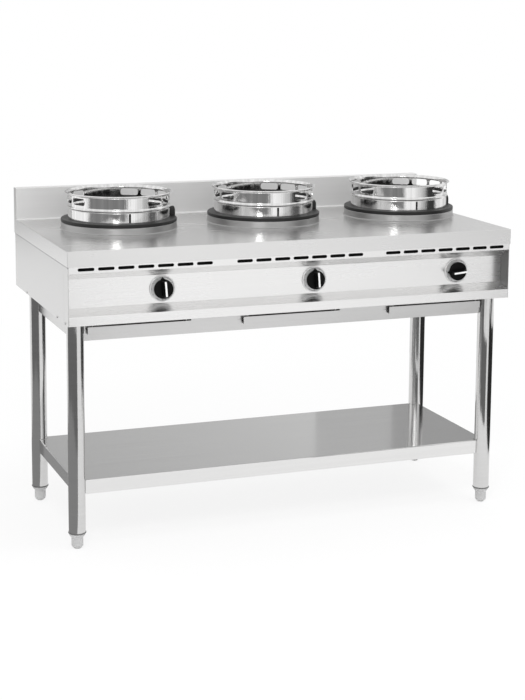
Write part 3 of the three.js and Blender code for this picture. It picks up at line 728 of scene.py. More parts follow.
@dataclass(frozen=True)
class Plastic(Finish):
    """Moulded plastic: one tone with a faint cloud, and a very fine moulded texture."""

    name: str
    slot: str
    tone: float
    roughness: float
    shine: float = 0.5
    texture_scale: float = 900.0
    texture_depth: float = 0.00004
    warmth: float = 0.0

    def write(self, recipe: Recipe) -> None:
        """Writes the material's nodes."""
        position = recipe.position()[0]
        cloud = recipe.noise(position, 30.0, 3.0)
        texture = recipe.noise(position, self.texture_scale, 2.0)
        recipe.set(Base_Color=recipe.mix(cloud, grey(self.tone * 0.85, self.warmth), grey(self.tone * 1.15, self.warmth)))
        recipe.set(Roughness=self.roughness + (cloud - 0.5) * 0.1, Specular_IOR_Level=self.shine)
        recipe.bump(texture, self.texture_depth)


@dataclass(frozen=True)
class Brass(Finish):
    """Machined brass, slightly dull."""

    name: str = "machined_brass"
    slot: str = "brass"
    roughness: float = 0.3

    def write(self, recipe: Recipe) -> None:
        """Writes the material's nodes."""
        position = recipe.position()[0]
        cloud = recipe.noise(position, 40.0, 4.0)
        lines = recipe.noise(recipe.node("ShaderNodeVectorMath", {"operation": "MULTIPLY"},
                                         {0: position, 1: (30.0, 1500.0, 30.0)}), 1.0, 2.0)
        recipe.set(Base_Color=recipe.mix(cloud, (0.55, 0.39, 0.17, 1), (0.75, 0.57, 0.29, 1)), Metallic=1.0)
        recipe.set(Roughness=self.roughness + (cloud - 0.5) * 0.2)
        recipe.bump(lines, 0.00003)


@dataclass(frozen=True)
class DialPlate(Finish):
    """Satin silver dial with fine circles and plain tick marks round the knob."""

    name: str = "dial_plate"
    slot: str = "bezel_metal"
    tone: float = 0.74
    roughness: float = 0.32
    tick_step_deg: float = 30.0
    tick_half_width: float = 0.0006
    tick_from: float = 0.031
    tick_to: float = 0.035

    def write(self, recipe: Recipe) -> None:
        """Writes the material's nodes."""
        low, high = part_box("dial_bezel_2")
        _, x, _, z = recipe.position()
        across = (x + (STATION_PITCH / 2 - (low.x + high.x) / 2)) % STATION_PITCH - STATION_PITCH / 2
        up = z - (low.z + high.z) / 2
        radius = (across * across + up * up) ** 0.5
        step = math.radians(self.tick_step_deg)
        from_tick = abs((up.angle_from(across) + (step / 2 + 2 * math.pi)) % step - step / 2)
        ink = (from_tick * radius).below(self.tick_half_width)
        shade_ring = radius.below(self.tick_to) - radius.below(self.tick_from)
        circles = recipe.noise(recipe.vector(radius * 2500.0, 0.0, 0.0), 1.0, 2.0)
        tone = recipe.mix(circles, grey(self.tone * 0.9), grey(self.tone * 1.1))
        recipe.set(Base_Color=recipe.mix(ink * shade_ring, tone, grey(0.05)))
        recipe.set(Metallic=0.3 - 0.3 * (ink * shade_ring), Roughness=self.roughness + (circles - 0.5) * 0.15)
        recipe.bump(circles, 0.00002)


WORKTOP_STEEL = Steel("worktop_steel", "worktop_steel", 0.76, 0.27, Grain.ALONG_X, slope=0.008, streak=0.015, wipe=0.02)
# Painted light: the upstand is the deck's own sheet, made mostly non-metal so that its grey is lit directly in place of
# its dark reflections.
UPSTAND_LIT_STEEL = Steel("upstand_steel_painted_light", "worktop_steel", 0.65, 0.5, Grain.ALONG_X, slope=0.012, streak=0.03,
                      wipe=0.01, metallic=0.15)
# Collars: the deck's sheet with circular grain; their lower tone is painted shade.
COLLAR_SHADED_STEEL = Steel("collar_steel_painted_shade", "worktop_steel", 0.44, 0.42, Grain.CIRCLES, slope=0.012, streak=0.02)
PANEL_STEEL = Steel("panel_steel", "panel_steel", 0.86, 0.27, Grain.ALONG_X, slope=0.03, streak=0.03)
# The side steel carries a painted shadow just under the worktop's skirt.
SIDE_STEEL = Steel("side_steel", "panel_steel", 0.66, 0.26, Grain.ALONG_Y, slope=0.012, streak=0.03,
                   shadow_band=(0.8398, 0.8432))
SHELF_STEEL = Steel("shelf_steel", "shelf_steel", 0.76, 0.13, Grain.ALONG_X, slope=0.01)
WELL_STEEL = Steel("well_steel", "worktop_steel", 0.3, 0.35, Grain.CIRCLES, slope=0.02)
RING_STEEL = Steel("ring_steel", "ring_steel", 0.74, 0.05, Grain.UPRIGHT, scratches=420.0, slope=0.075, streak=0.4)
TUBE_STEEL = Steel("tube_steel", "tube_steel", 0.65, 0.12, Grain.ROUND_TUBE, slope=0.02)
GALVANISED = Steel("galvanised_steel", "galvanised_steel", 0.42, 0.42, Grain.ALONG_X, streak=0.08, wipe=0.2, wipe_scale=25.0)
TRAY_STEEL = Steel("tray_steel", "panel_steel", 0.64, 0.3, Grain.ALONG_X, streak=0.03)
CASTING = Casting()
BRASS = Brass()
KNOB_BLACK = Plastic("knob_black", "knob_plastic", 0.005, 0.24, shine=0.06)
RIDGE_LINE_WHITE = Plastic("ridge_line_white", "knob_plastic", 0.85, 0.35)
FOOT_GREY = Plastic("foot_grey", "foot_plastic", 0.54, 0.42)
# Painted shade: dark grey for the ring at the leg tube's end.
LEG_END_SHADE = Plastic("leg_end_painted_shade", "foot_plastic", 0.12, 0.4)
# Painted shade: near black for the right tray guide, where the gap lies in shade.
GUIDE_SHADE_BLACK = Plastic("guide_painted_shade", "foot_plastic", 0.03, 0.5, shine=0.2)
# Painted shade: near black for the sheet behind the vents, which stands for the dark inside of the casing.
VENT_SHADE_BLACK = Plastic("vent_painted_shade", "cast_iron", 0.01, 0.7, shine=0.1)
# Painted shade: a darker copy of the side steel for the cheeks' inner faces.
CHEEK_SHADED_STEEL = Steel("cheek_steel_painted_shade", "panel_steel", 0.2, 0.3, Grain.ALONG_Y, slope=0.012, streak=0.03)
SCREW_STEEL = Steel("screw_steel", "panel_steel", 0.55, 0.3, Grain.ALONG_X)
DIAL = DialPlate()


# ---------------------------------------------------------------- the range's pieces

def box_mm(node: str) -> tuple[Array, Array]:
    """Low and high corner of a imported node, in millimetres."""
    low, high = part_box(node)
    return np.array(low) / MM, np.array(high) / MM


def middle_mm(node: str) -> Array:
    """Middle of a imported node's box, in millimetres."""
    low, high = box_mm(node)
    return (low + high) / 2


SKIRT = 45.0
DECK = box_mm("worktop")[0][2] + SKIRT


@dataclass(frozen=True)
class WokRing:
    """Ring of rolled strip: plain foot with an open joint, bead, slotted band, flared and curled rim."""

    station: int
    radius: float = 156.5
    wall: float = 2.5
    foot: float = 31.3
    bead: float = 68.0
    bead_half: float = 6.5
    bead_out: float = 3.0
    flare: float = 104.6
    flare_radius: float = 6.0
    flare_deg: float = 80.0
    curl_radius: float = 1.0
    curl_deg: float = 90.0
    slot_height: float = 90.5
    slot_half: tuple[float, float] = (28.5, 10.5)
    slot_corner: float = 8.0
    slot_cell: tuple[float, float] = (31.5, 12.5)
    slot_rows: tuple[tuple[float, float, int], ...] = ((299.0, 24.6, 6), (490.0, 24.4, 4))
    joint_deg: float = 266.5
    joint_half: float = 3.0
    joint_top: float = 60.0
    first_deg: float = 240.0
    columns: int = 121

    def _section(self, v: Array) -> tuple[Array, Array]:
        """Radius and height at each place v up the strip.

        The bead adds one hump of a cosine. Above the flare's foot the strip turns outward on one arc and then
        curls over on a tighter one: on an arc, radius grows with 1 - cos and height with sin of the turn.
        """
        hump = np.where(abs(v - self.bead) < self.bead_half, 1 + np.cos(np.pi * (v - self.bead) / self.bead_half), 0)
        first, second = math.radians(self.flare_deg), math.radians(self.curl_deg)
        turn = np.clip((v - self.flare) / self.flare_radius, 0, first)
        curl = first + np.clip((v - self._flare_end()) / self.curl_radius, 0, second)
        radius = self.radius + hump * self.bead_out / 2 + self.flare_radius * (1 - np.cos(turn))
        height = np.minimum(v, self.flare) + self.flare_radius * np.sin(turn)
        radius += self.curl_radius * (math.cos(first) - np.cos(curl))
        height += self.curl_radius * (np.sin(curl) - math.sin(first))
        return radius, height

    def _flare_end(self) -> float:
        """Place up the strip where the flare passes into the curl."""
        return self.flare + self.flare_radius * math.radians(self.flare_deg)

    def make(self) -> None:
        """Cuts the flat strip's slots and joint, then rolls it into the ring."""
        x, y, _ = middle_mm(f"wok_ring_{self.station}")
        angles = np.concatenate([first + step * np.arange(count) for first, step, count in self.slot_rows])
        slots = [Slot(self.radius * math.radians(angle), self.slot_height, *self.slot_half, self.slot_corner,
                      *self.slot_cell) for angle in angles]
        end = self._flare_end()
        rows = np.concatenate([
            np.linspace(self.foot, self.bead - self.bead_half, 5),
            self.bead + self.bead_half * np.linspace(-1, 1, 11),
            np.linspace(self.flare, end, 9),
            np.linspace(end, end + self.curl_radius * math.radians(self.curl_deg), 6),
        ])
        columns = self.radius * np.radians(np.linspace(self.first_deg, self.first_deg + 360, self.columns))
        joint = self.radius * math.radians(self.joint_deg)
        flat, quads = pierced(columns, rows, slots,
                              [(joint - self.joint_half, joint + self.joint_half, self.foot, self.joint_top)])
        radius, height = self._section(flat[:, 1])
        angle = flat[:, 0] / self.radius
        points = upright(x, y)(radius * np.cos(angle), radius * np.sin(angle), DECK + height)
        build = Build(wall=self.wall, ease=0.3, probe=(x, y - 2 * self.radius, DECK + self.bead), sharp_deg=50)
        node = f"wok_ring_{self.station}"
        Piece(f"{node}_strip", f"ring_{self.station}", RING_STEEL).from_patches([Patch(points, quads)], build, node)


@dataclass(frozen=True)
class RingBase:
    """Cast base plate: a flat ring with a spigot in the collar's hole, and one lug with a round back."""

    station: int
    inner: float = 128.0
    outer: float = 178.0
    spigot: float = 134.0
    spigot_bottom: float = 12.3
    bottom: float = 20.8
    top: float = 30.6
    lug_from: float = 159.5
    lug_to: float = 176.5
    lug_half: float = 15.0
    lug_height: float = 30.0
    lug_sunk: float = 2.0

    def make(self) -> None:
        """Turns the plate and adds the lug."""
        node = f"ring_base_{self.station}"
        body = f"base_{self.station}"
        x, y, _ = middle_mm(f"wok_ring_{self.station}")
        centre = (self.inner + self.outer) / 2
        corners = [
            (centre, self.top), (self.inner, self.top), (self.inner, self.spigot_bottom),
            (self.spigot, self.spigot_bottom), (self.spigot, self.bottom), (self.outer, self.bottom),
            (self.outer, self.top), (centre, self.top),
        ]
        profile = rounded(corners, [2.0, 0.6, 0.6, 0.5, 1.0, 2.5], 5)[:-1] + [0, DECK]
        Piece(f"{node}_plate", body, CASTING).from_patches(
            [revolved(profile, round_angles(144), upright(x, y), closed=True)], Build(), node)
        arc = np.linspace(0, math.pi, 25)
        level = DECK + self.top - self.lug_sunk
        round_top = np.stack([self.lug_half * np.cos(arc), self.lug_height - self.lug_half + self.lug_half * np.sin(arc)], 1)
        outline = np.vstack([[(self.lug_half, 0.0)], round_top, [(-self.lug_half, 0.0)], [(self.lug_half, 0.0)]])
        lug = carried(outline + [y, level], np.array([x + self.lug_from, x + self.lug_to]), along_x)
        Piece(f"{node}_lug", body, CASTING).from_patches([lug], Build(ease=2.0, caps=True, sharp_deg=50))


@dataclass(frozen=True)
class Worktop:
    """Pressed top: deck with three raised collars, skirt, coved upstand and closed ends."""

    upstand_depth: float = 36.0
    cove: float = 4.0
    before_cove: float = 12.0
    bend: float = 2.5
    wall: float = 2.0
    collar_radius: float = 178.0
    collar_height: float = 20.5
    collar_hole: float = 135.0
    foot_fillet: float = 3.0
    top_edge: float = 3.0
    sides: int = 144

    def _cell(self, x: float, y: float, x_range: tuple, y_range: tuple) -> tuple[Patch, Array]:
        """Deck round one collar, as straight lines from the collar's foot out to the cell's rectangle.

        A line at angle a leaves the rectangle at the smaller of (half size in x) / |cos a| and
        (half size in y) / |sin a|, the half sizes being those on the line's own side of the axis.

        Args:
            x: The collar's axis.
            y: The collar's axis.
            x_range: The rectangle's span in x.
            y_range: The rectangle's span in y.

        Returns:
            The deck's cell, and the angles of its lines.
        """
        to_corner = np.array([math.atan2(v - y, u - x) for u in x_range for v in y_range]) % (2 * math.pi)
        angles = np.unique(np.round(np.concatenate([round_angles(self.sides), to_corner]), 9))
        c, s = np.cos(angles), np.sin(angles)
        reach_x = np.where(c > 0, x_range[1] - x, x - x_range[0]) / np.maximum(abs(c), 1e-9)
        reach_y = np.where(s > 0, y_range[1] - y, y - y_range[0]) / np.maximum(abs(s), 1e-9)
        foot = np.full_like(angles, self.collar_radius + self.foot_fillet)
        reach = np.stack([foot, np.minimum(reach_x, reach_y)])
        points = upright(x, y)(reach * c, reach * s, np.full_like(reach, DECK))
        return Patch(points.reshape(-1, 3), lattice(2, len(angles), ring=True)), angles

    def _collar(self, x: float, y: float, angles: Array) -> Patch:
        """Wall and top of one collar, from its foot to its hole."""
        top = DECK + self.collar_height
        radius = self.collar_radius
        corners = [(radius + self.foot_fillet, DECK), (radius, DECK), (radius, top), (self.collar_hole, top)]
        profile = rounded(corners, [self.foot_fillet, self.top_edge], 6)[1:]
        return revolved(profile, angles, upright(x, y), finish=1)

    def make(self) -> None:
        """Joins cells, collars, skirt and upstand into one sheet, closes its ends and folds its edges."""
        low, high = box_mm("worktop")
        riser = high[1] - self.upstand_depth
        deck_y = (low[1], riser - self.before_cove)
        axes = [middle_mm(f"wok_ring_{station}") for station in STATIONS]
        between = [(a[0] + b[0]) / 2 for a, b in zip(axes, axes[1:])]
        edges = [low[0], *between, high[0]]
        patches = []
        for axis, x_range in zip(axes, zip(edges, edges[1:])):
            cell, angles = self._cell(axis[0], axis[1], x_range, deck_y)
            patches += [cell, self._collar(axis[0], axis[1], angles)]
        deck = np.vstack([patch.points for patch in patches[::2]])

        def line(axis: int, value: float) -> Array:
            """Sorted places of the deck's points along one of its edges."""
            on_edge = np.abs(deck[:, axis] - value) < 1e-4
            return np.unique(np.round(deck[on_edge, 1 - axis], 6))

        front = np.array([(low[1], low[2]), (low[1], DECK)])
        corners = [(deck_y[1], DECK), (riser, DECK), (riser, high[2]), (high[1], high[2]), (high[1], low[2])]
        back = np.vstack([rounded(corners[:3], self.cove, 8)[:-1], corners[2:]])
        patches.append(carried(front, line(1, low[1]), along_x))
        patches.append(carried(back, line(1, deck_y[1]), along_x, finish=2))
        for end in (low[0], high[0]):
            side = np.stack([line(0, end), np.full_like(line(0, end), DECK)], 1)
            outline = np.vstack([front[:1], side, back[1:]])
            patches.append(face_of(along_x(outline[:, 0], outline[:, 1], np.full(len(outline), end))))
        build = Build(bend=self.bend, wall=self.wall, probe=(0.0, low[1] - 100, DECK + 300))
        # The collars take a darker copy of the deck steel (painted shade), the upstand a mostly non-metal copy (painted
        # light).
        finishes = (WORKTOP_STEEL, COLLAR_SHADED_STEEL, UPSTAND_LIT_STEEL)
        Piece("worktop_sheet", "root", *finishes).from_patches(patches, build, "worktop")


@dataclass(frozen=True)
class ControlPanel:
    """Folded front: pierced vent band, upper return, recessed panel, sill and lower strip, with its end cheeks."""

    top_flange: float = 16.0
    bottom_flange: float = 28.0
    band_bottom: float = 824.0
    recess_top: float = 800.0
    recess_bottom: float = 716.0
    sill: float = 700.0
    recess_depth: float = 49.7
    wall: float = 1.5
    fold_radius: float = 2.0
    vent_z: float = 834.5
    vent_half: tuple[float, float] = (24.0, 4.6)
    vent_corner: float = 4.5
    vent_cell: tuple[float, float] = (27.8, 7.4)
    vent_pitch: float = 58.5
    vent_count: int = 7
    vent_offset: float = -37.0
    # Place of the dark sheet behind the vents, which is painted shade.
    shade_sheet_gap: float = 13.0
    shade_sheet_top: float = 841.0
    shade_sheet_bottom: float = 821.0
    shade_sheet_turn: float = 8.0

    def make(self) -> None:
        """Pierces the flat sheet and folds it along X, then closes the ends."""
        low, high = box_mm("control_panel")
        front, recess = low[1], low[1] + self.recess_depth
        inside = high[0] - self.wall
        path = rounded([
            (front + self.top_flange, high[2]), (front, high[2]), (front, self.band_bottom),
            (recess, self.recess_top), (recess, self.recess_bottom), (front, self.sill),
            (front, low[2]), (front + self.bottom_flange, low[2]),
        ], self.fold_radius, 4)
        length = np.concatenate([[0], np.cumsum(np.linalg.norm(np.diff(path, axis=0), axis=1))])
        vent_v = float(np.interp(-self.vent_z, -path[:, 1], length))
        places = (np.arange(self.vent_count) - (self.vent_count - 1) / 2) * self.vent_pitch + self.vent_offset
        slots = [Slot(middle_mm(f"wok_ring_{station}")[0] + place, vent_v, *self.vent_half, self.vent_corner,
                      *self.vent_cell) for station in STATIONS for place in places]
        flat, quads = pierced(np.linspace(-inside, inside, 15), length, slots)
        y, z = np.interp(flat[:, 1], length, path[:, 0]), np.interp(flat[:, 1], length, path[:, 1])
        build = Build(wall=self.wall, ease=0.3, probe=(0.0, front - 300, self.vent_z + 20), sharp_deg=50)
        Piece("control_panel_fold", "root", PANEL_STEEL).from_patches(
            [Patch(np.stack([flat[:, 0], y, z], 1), quads)], build, "control_panel")
        outline = np.array([(front, low[2]), (high[1], low[2]), (high[1], high[2]), (front, high[2]), (front, low[2])])
        for name, side in (("left", -1), ("right", 1)):
            edge = carried(outline, side * np.array([inside, high[0]]), along_x)
            # The cheek's inner face takes the darker copy of the side steel, painted shade.
            faces = [face_of(along_x(outline[:-1, 0], outline[:-1, 1], np.full(4, side * x)), finish)
                     for x, finish in ((high[0], 0), (inside, 1))]
            Piece(f"control_panel_cheek_{name}", "root", SIDE_STEEL, CHEEK_SHADED_STEEL).from_patches(
                [edge, *faces], Build(ease=0.3))
        self._make_shade_sheet(front, inside)

    def _make_shade_sheet(self, front: float, inside: float) -> None:
        """Hangs a dark sheet behind the vents, painted shade that makes the slots read black: a strip whose lower edge
        turns in toward the range's inside.

        Args:
            front: The vent band's place in y.
            inside: Half the sheet's length.
        """
        plane = front + self.shade_sheet_gap
        path = rounded([(plane, self.shade_sheet_top), (plane, self.shade_sheet_bottom),
                        (plane + self.shade_sheet_turn, self.shade_sheet_bottom)], self.fold_radius, 4)
        strip = carried(path, np.array([-inside, inside]), along_x)
        build = Build(wall=1.0, probe=(0.0, front - 300, self.vent_z))
        Piece("vent_shade_sheet", "root", VENT_SHADE_BLACK).from_patches([strip], build)


@dataclass(frozen=True)
class Knob:
    """Control knob: round skirt, pointed nub, grip bar that narrows toward its ridge, and a white line standing on the
    ridge.
    """

    station: int
    radius: float = 28.5
    back: float = 11.0
    face: float = 19.0
    ridge: float = 43.0
    foot_half: float = 8.0
    ridge_half: float = 2.8
    end_back: float = 26.0
    end_front: float = 22.5
    nub_half: float = 7.5
    nub_reach: float = 6.0
    line_half: float = 2.6
    lean: float = 4.0
    set_deg: float = 5.0

    def _grip(self, place: Place) -> Patch:
        """The grip bar as a pile of outlines.

        Each outline is a bar of half width w with round ends of radius R, moved toward the nub in step with w: in direction a from the bar's long axis
        it lies at (R^-n + (w / |sin a|)^-n)^(-1/n), with n = 14 for small round corners. Both w and R shrink from
        the face to the ridge, and by an ellipse's quarter over the last millimetre.
        """
        straight = np.linspace(0, 1, 5)
        top = np.linspace(0, math.pi / 2, 7)[1:]
        rise = np.concatenate([straight, 1 + 0 * top])
        shrink = np.concatenate([0 * straight, 1.6 * (1 - np.cos(top))])
        out = np.concatenate([self.face - 2 + (self.ridge - 0.6 - self.face) * straight, self.ridge - 1.6 + 1.6 * np.sin(top)])
        half = (self.foot_half + (self.ridge_half - self.foot_half) * rise - shrink)[:, None]
        end = (self.end_back + (self.end_front - self.end_back) * rise - shrink)[:, None]
        quarter = math.pi / 2 * np.linspace(0, 1, 22) ** 2
        turn = np.concatenate([quarter, math.pi - quarter[-2::-1], math.pi + quarter[1:], 2 * math.pi - quarter[-2:0:-1]])
        power = 14
        across_limit = half / np.maximum(abs(np.sin(turn)), 1e-6)
        reach = (end ** -power + across_limit ** -power) ** (-1 / power)
        ahead = reach * np.cos(turn) + self.lean * rise[:, None]
        points = place(reach * np.sin(turn), ahead, out[:, None] + 0 * reach)
        return Patch(points.reshape(-1, 3), lattice(len(out), len(turn), ring=True))

    def make(self) -> None:
        """Builds the knob about its bezel's axis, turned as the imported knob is."""
        node = f"knob_{self.station}"
        low, high = box_mm(node)
        x, _, z = middle_mm(f"dial_bezel_{self.station}")
        panel = high[1] + self.back
        turn = 90.0 if x - low[0] > high[2] - z + 1 else 0.0
        place = facing_front(x, z, panel, turn + self.set_deg)
        corners = [(0, self.back), (self.radius, self.back), (self.radius, self.face), (0, self.face)]
        skirt = revolved(rounded(corners, [0.8, 2.0], 5), round_angles(96), place)
        tip = self.radius + self.nub_reach
        nub = np.array([(-self.nub_half, self.radius - 3), (self.nub_half, self.radius - 3), (1.2, tip), (-1.2, tip),
                        (-self.nub_half, self.radius - 3)])
        pointer = carried(nub, np.array([self.back + 0.5, self.face - 0.5]), place)
        build = Build(caps=True, ease=0.5, sharp_deg=50)
        Piece(f"{node}_skirt", node, KNOB_BLACK).from_patches([skirt], Build(sharp_deg=50), node)
        Piece(f"{node}_nub", node, KNOB_BLACK).from_patches([pointer], build)
        Piece(f"{node}_grip", node, KNOB_BLACK).from_patches([self._grip(place)], Build(caps=True, sharp_deg=50))
        # A thin white strip standing on the grip's ridge.
        reach = self.end_front - 0.6
        half = self.line_half
        line = np.array([(-half, -reach), (half, -reach), (half, reach), (-half, reach), (-half, -reach)])
        line += [0, self.lean]
        ridge_line = carried(line, np.array([self.ridge - 0.8, self.ridge + 0.15]), place)
        Piece(f"{node}_index", node, RIDGE_LINE_WHITE).from_patches([ridge_line], Build(caps=True))


@dataclass(frozen=True)
class Bezel:
    """Dial bezel: a shallow dish with a raised rim."""

    station: int
    bore: float = 10.0
    radius: float = 38.5
    back: float = 0.3
    rim: float = 5.0
    dish: float = 3.2

    def make(self) -> None:
        """Turns the bezel's closed profile."""
        node = f"dial_bezel_{self.station}"
        x, _, z = middle_mm(node)
        panel = box_mm(node)[1][1] + self.back
        corners = [
            (self.bore + 5, self.back), (self.radius, self.back), (self.radius, self.rim), (self.radius - 3, self.rim),
            (self.radius - 6, self.dish), (self.bore, self.dish), (self.bore, self.back), (self.bore + 5, self.back),
        ]
        profile = rounded(corners, [0.3, 1.8, 1.2, 3.0, 0.3, 0.3], 5)[:-1]
        bezel = revolved(profile, round_angles(96), facing_front(x, z, panel), closed=True)
        Piece(f"{node}_dish", "root", DIAL).from_patches([bezel], Build(sharp_deg=50), node)


@dataclass(frozen=True)
class Leg:
    """Round leg tube, and the bullet foot in its end."""

    corner: str
    radius: float = 25.0
    wall: float = 1.5
    foot_corners: tuple[tuple[float, float], ...] = (
        (0, 0), (9.5, 0), (17.3, 8), (17.3, 34), (23.5, 41.5), (23.5, 46.7), (22.5, 46.7), (22.5, 80), (0, 80),
    )
    foot_radii: tuple[float, ...] = (4.0, 9.0, 5.0, 2.0, 0.6, 0.2, 0.6)

    def make(self) -> None:
        """Turns the tube and the foot about the leg's axis."""
        leg, foot = f"leg_{self.corner}", f"foot_{self.corner}"
        low, high = box_mm(leg)
        x, y, _ = middle_mm(leg)
        inner = self.radius - self.wall
        section = np.array([(inner, low[2]), (self.radius, low[2]), (self.radius, high[2]), (inner, high[2])])
        tube = revolved(section, round_angles(96), upright(x, y), closed=True)
        Piece(f"{leg}_tube", "root", TUBE_STEEL).from_patches([tube], Build(ease=0.3), leg)
        # A rim proud of the tube's end, whose dark tone is painted shade of the gap between tube and foot.
        shade_ring = np.array([(inner, low[2] - 0.2), (self.radius + 1.2, low[2] - 0.2), (self.radius + 1.2, low[2] + 3.2),
                         (inner, low[2] + 3.2)])
        ring = revolved(shade_ring, round_angles(96), upright(x, y), closed=True)
        Piece(f"{leg}_band", "root", LEG_END_SHADE).from_patches([ring], Build(ease=0.6))
        bullet = revolved(rounded(self.foot_corners, self.foot_radii, 6), round_angles(64), upright(x, y))
        Piece(f"{foot}_bullet", foot, FOOT_GREY).from_patches([bullet], Build(), foot)


@dataclass(frozen=True)
class Undershelf:
    """Shelf turned down on all sides, its edge returned inward, notched round the legs."""

    lip: float = 43.0
    hem: float = 12.0
    wall: float = 1.5
    bend: float = 2.5
    notch: float = 25.6

    def _outline(self, low: Array, high: Array) -> Array:
        """Plan of the shelf: four straight edges between arcs about the legs, anticlockwise."""
        arcs = []
        for name, sx, sy in (("front_right", 1, -1), ("back_right", 1, 1), ("back_left", -1, 1), ("front_left", -1, -1)):
            x, y, _ = middle_mm(f"leg_{name}")
            beyond = abs((high[0] if sx > 0 else low[0]) - x)
            end = math.asin(beyond / self.notch)
            angle = np.linspace(math.pi - end, 1.5 * math.pi + end, 17)
            arc = np.stack([x + sx * self.notch * np.cos(angle), y + sy * self.notch * np.sin(angle)], 1)
            arcs.append(arc if sx * sy < 0 else arc[::-1])
        return np.vstack(arcs)

    def make(self) -> None:
        """Carries the lip and its hem round the plan, and closes it with the deck.

        Each corner of the plan moves inward along the sum of its two edges' normals, divided by one plus their
        dot product, so that both edges keep the same distance.
        """
        low, high = box_mm("undershelf")
        plan = self._outline(low, high)
        ahead = np.roll(plan, -1, axis=0) - plan
        ahead /= np.linalg.norm(ahead, axis=1, keepdims=True)
        normal = np.stack([-ahead[:, 1], ahead[:, 0]], 1)
        before = np.roll(normal, 1, axis=0)
        inward = (before + normal) / (1 + np.sum(before * normal, axis=1, keepdims=True))
        bottom, top, wall, deck = high[2] - self.lip, high[2], self.wall, self.bend + 1
        outer = rounded([(deck, top), (0, top), (0, bottom), (self.hem, bottom)], self.bend, 5)
        inner = rounded([(self.hem, bottom + wall), (wall, bottom + wall), (wall, top - wall), (deck, top - wall)],
                        self.bend - wall, 3)
        section = np.vstack([outer, inner])
        edge = plan + inward * section[:, :1, None]
        points = np.concatenate([edge, section[:, 1:, None] + 0 * edge[..., :1]], axis=-1)
        lip = Patch(points.reshape(-1, 3), lattice(len(section), len(plan), ring=True))
        patches = [lip, face_of(points[0]), face_of(points[-1])]
        Piece("undershelf_sheet", "root", SHELF_STEEL).from_patches(patches, Build(sharp_deg=50), "undershelf")


@dataclass(frozen=True)
class BurnerCap:
    """Lift-off cap: a low dome whose skirt is notched by the flame ports."""

    station: int
    radius: float = 74.0
    spigot: float = 66.0
    port_half: float = 2.5
    port_top: float = 4.0
    ports: int = 10

    def make(self) -> None:
        """Turns the cap's profile and lifts its skirt to the port's roof wherever a port's angles lie."""
        node = f"burner_cap_{self.station}"
        low, _ = box_mm(node)
        seat = low[2] + 6
        x, y, _ = middle_mm(f"wok_ring_{self.station}")
        corners = [
            (0, 18), (self.spigot - 4, 6), (self.spigot - 4, -6), (self.spigot, -6), (self.spigot, 0),
            (self.radius, 0), (self.radius, 8), (self.radius - 30, 19), (0, 23),
        ]
        profile = rounded(corners, [2.0, 0.5, 0.5, 0.5, 0.8, 5.0, 40.0], 5)
        half = self.port_half / self.radius
        middles = (np.arange(self.ports) + 0.5) * (2 * math.pi / self.ports) - math.pi / 2
        steps = np.array([-half, -half, 0.0, half, half])
        port = (middles[:, None] + steps).ravel()
        in_port = np.tile([False, True, True, True, False], self.ports)
        plain = (middles[:, None] + np.linspace(half, 2 * math.pi / self.ports - half, 9)[1:-1]).ravel()
        angles = np.concatenate([port, plain])
        lifted = np.concatenate([in_port, np.zeros(len(plain), bool)])
        rank = np.concatenate([np.tile(np.arange(5), self.ports), np.zeros(len(plain), int)])
        order = np.lexsort((rank, np.round(angles % (2 * math.pi), 7)))
        angles, lifted = angles[order], lifted[order]
        radius, height = profile[:, :1], profile[:, 1:]
        height = np.where(lifted & (height < self.port_top), self.port_top, height * np.ones_like(angles))
        points = upright(x, y)(radius * np.cos(angles), radius * np.sin(angles), seat + height)
        cap = Patch(points.reshape(-1, 3), lattice(len(profile), len(angles), ring=True))
        Piece(f"{node}_dome", f"cap_{self.station}", CASTING).from_patches([cap], Build(sharp_deg=40), node)


@dataclass(frozen=True)
class TrayGuides:
    """Two guides behind the front rail, which close its notch beside a drip tray's pan and flange; the right one is
    near black, painted shade of the gap at that end.
    """

    station: int
    rail_sheet: float = 2.0
    pan_clear: float = 0.5
    flange_clear: float = 0.6
    flange_drop: float = 3.6
    reach: float = 24.0
    foot: float = 640.0
    depth: float = 3.0

    def make(self) -> None:
        """Cuts each guide to the pan's side, the flange and the notch, and places it on the rail's back."""
        rail_low, rail_high = box_mm("front_rail")
        back = rail_low[1] + self.rail_sheet
        low, high = box_mm(f"drip_tray_{self.station}")
        x = (low[0] + high[0]) / 2
        pan, flange = 142.0 + self.pan_clear, 150.0 + self.flange_clear
        step = high[2] - self.flange_drop
        shape = np.array([(pan, self.foot), (flange + self.reach, self.foot), (flange + self.reach, rail_high[2]),
                          (flange, rail_high[2]), (flange, step), (pan, step), (pan, self.foot)])
        # The right guide's near black is painted shade of the gap at that end of the tray.
        for name, side, finish in (("left", -1, TRAY_STEEL), ("right", 1, GUIDE_SHADE_BLACK)):
            guide = carried(shape * [side, 1] + [x, 0], np.array([back, back + self.depth]),
                            lambda u, v, w: np.stack([u, w, v], -1))
            Piece(f"tray_guide_{self.station}_{name}", "root", finish).from_patches([guide], Build(caps=True))


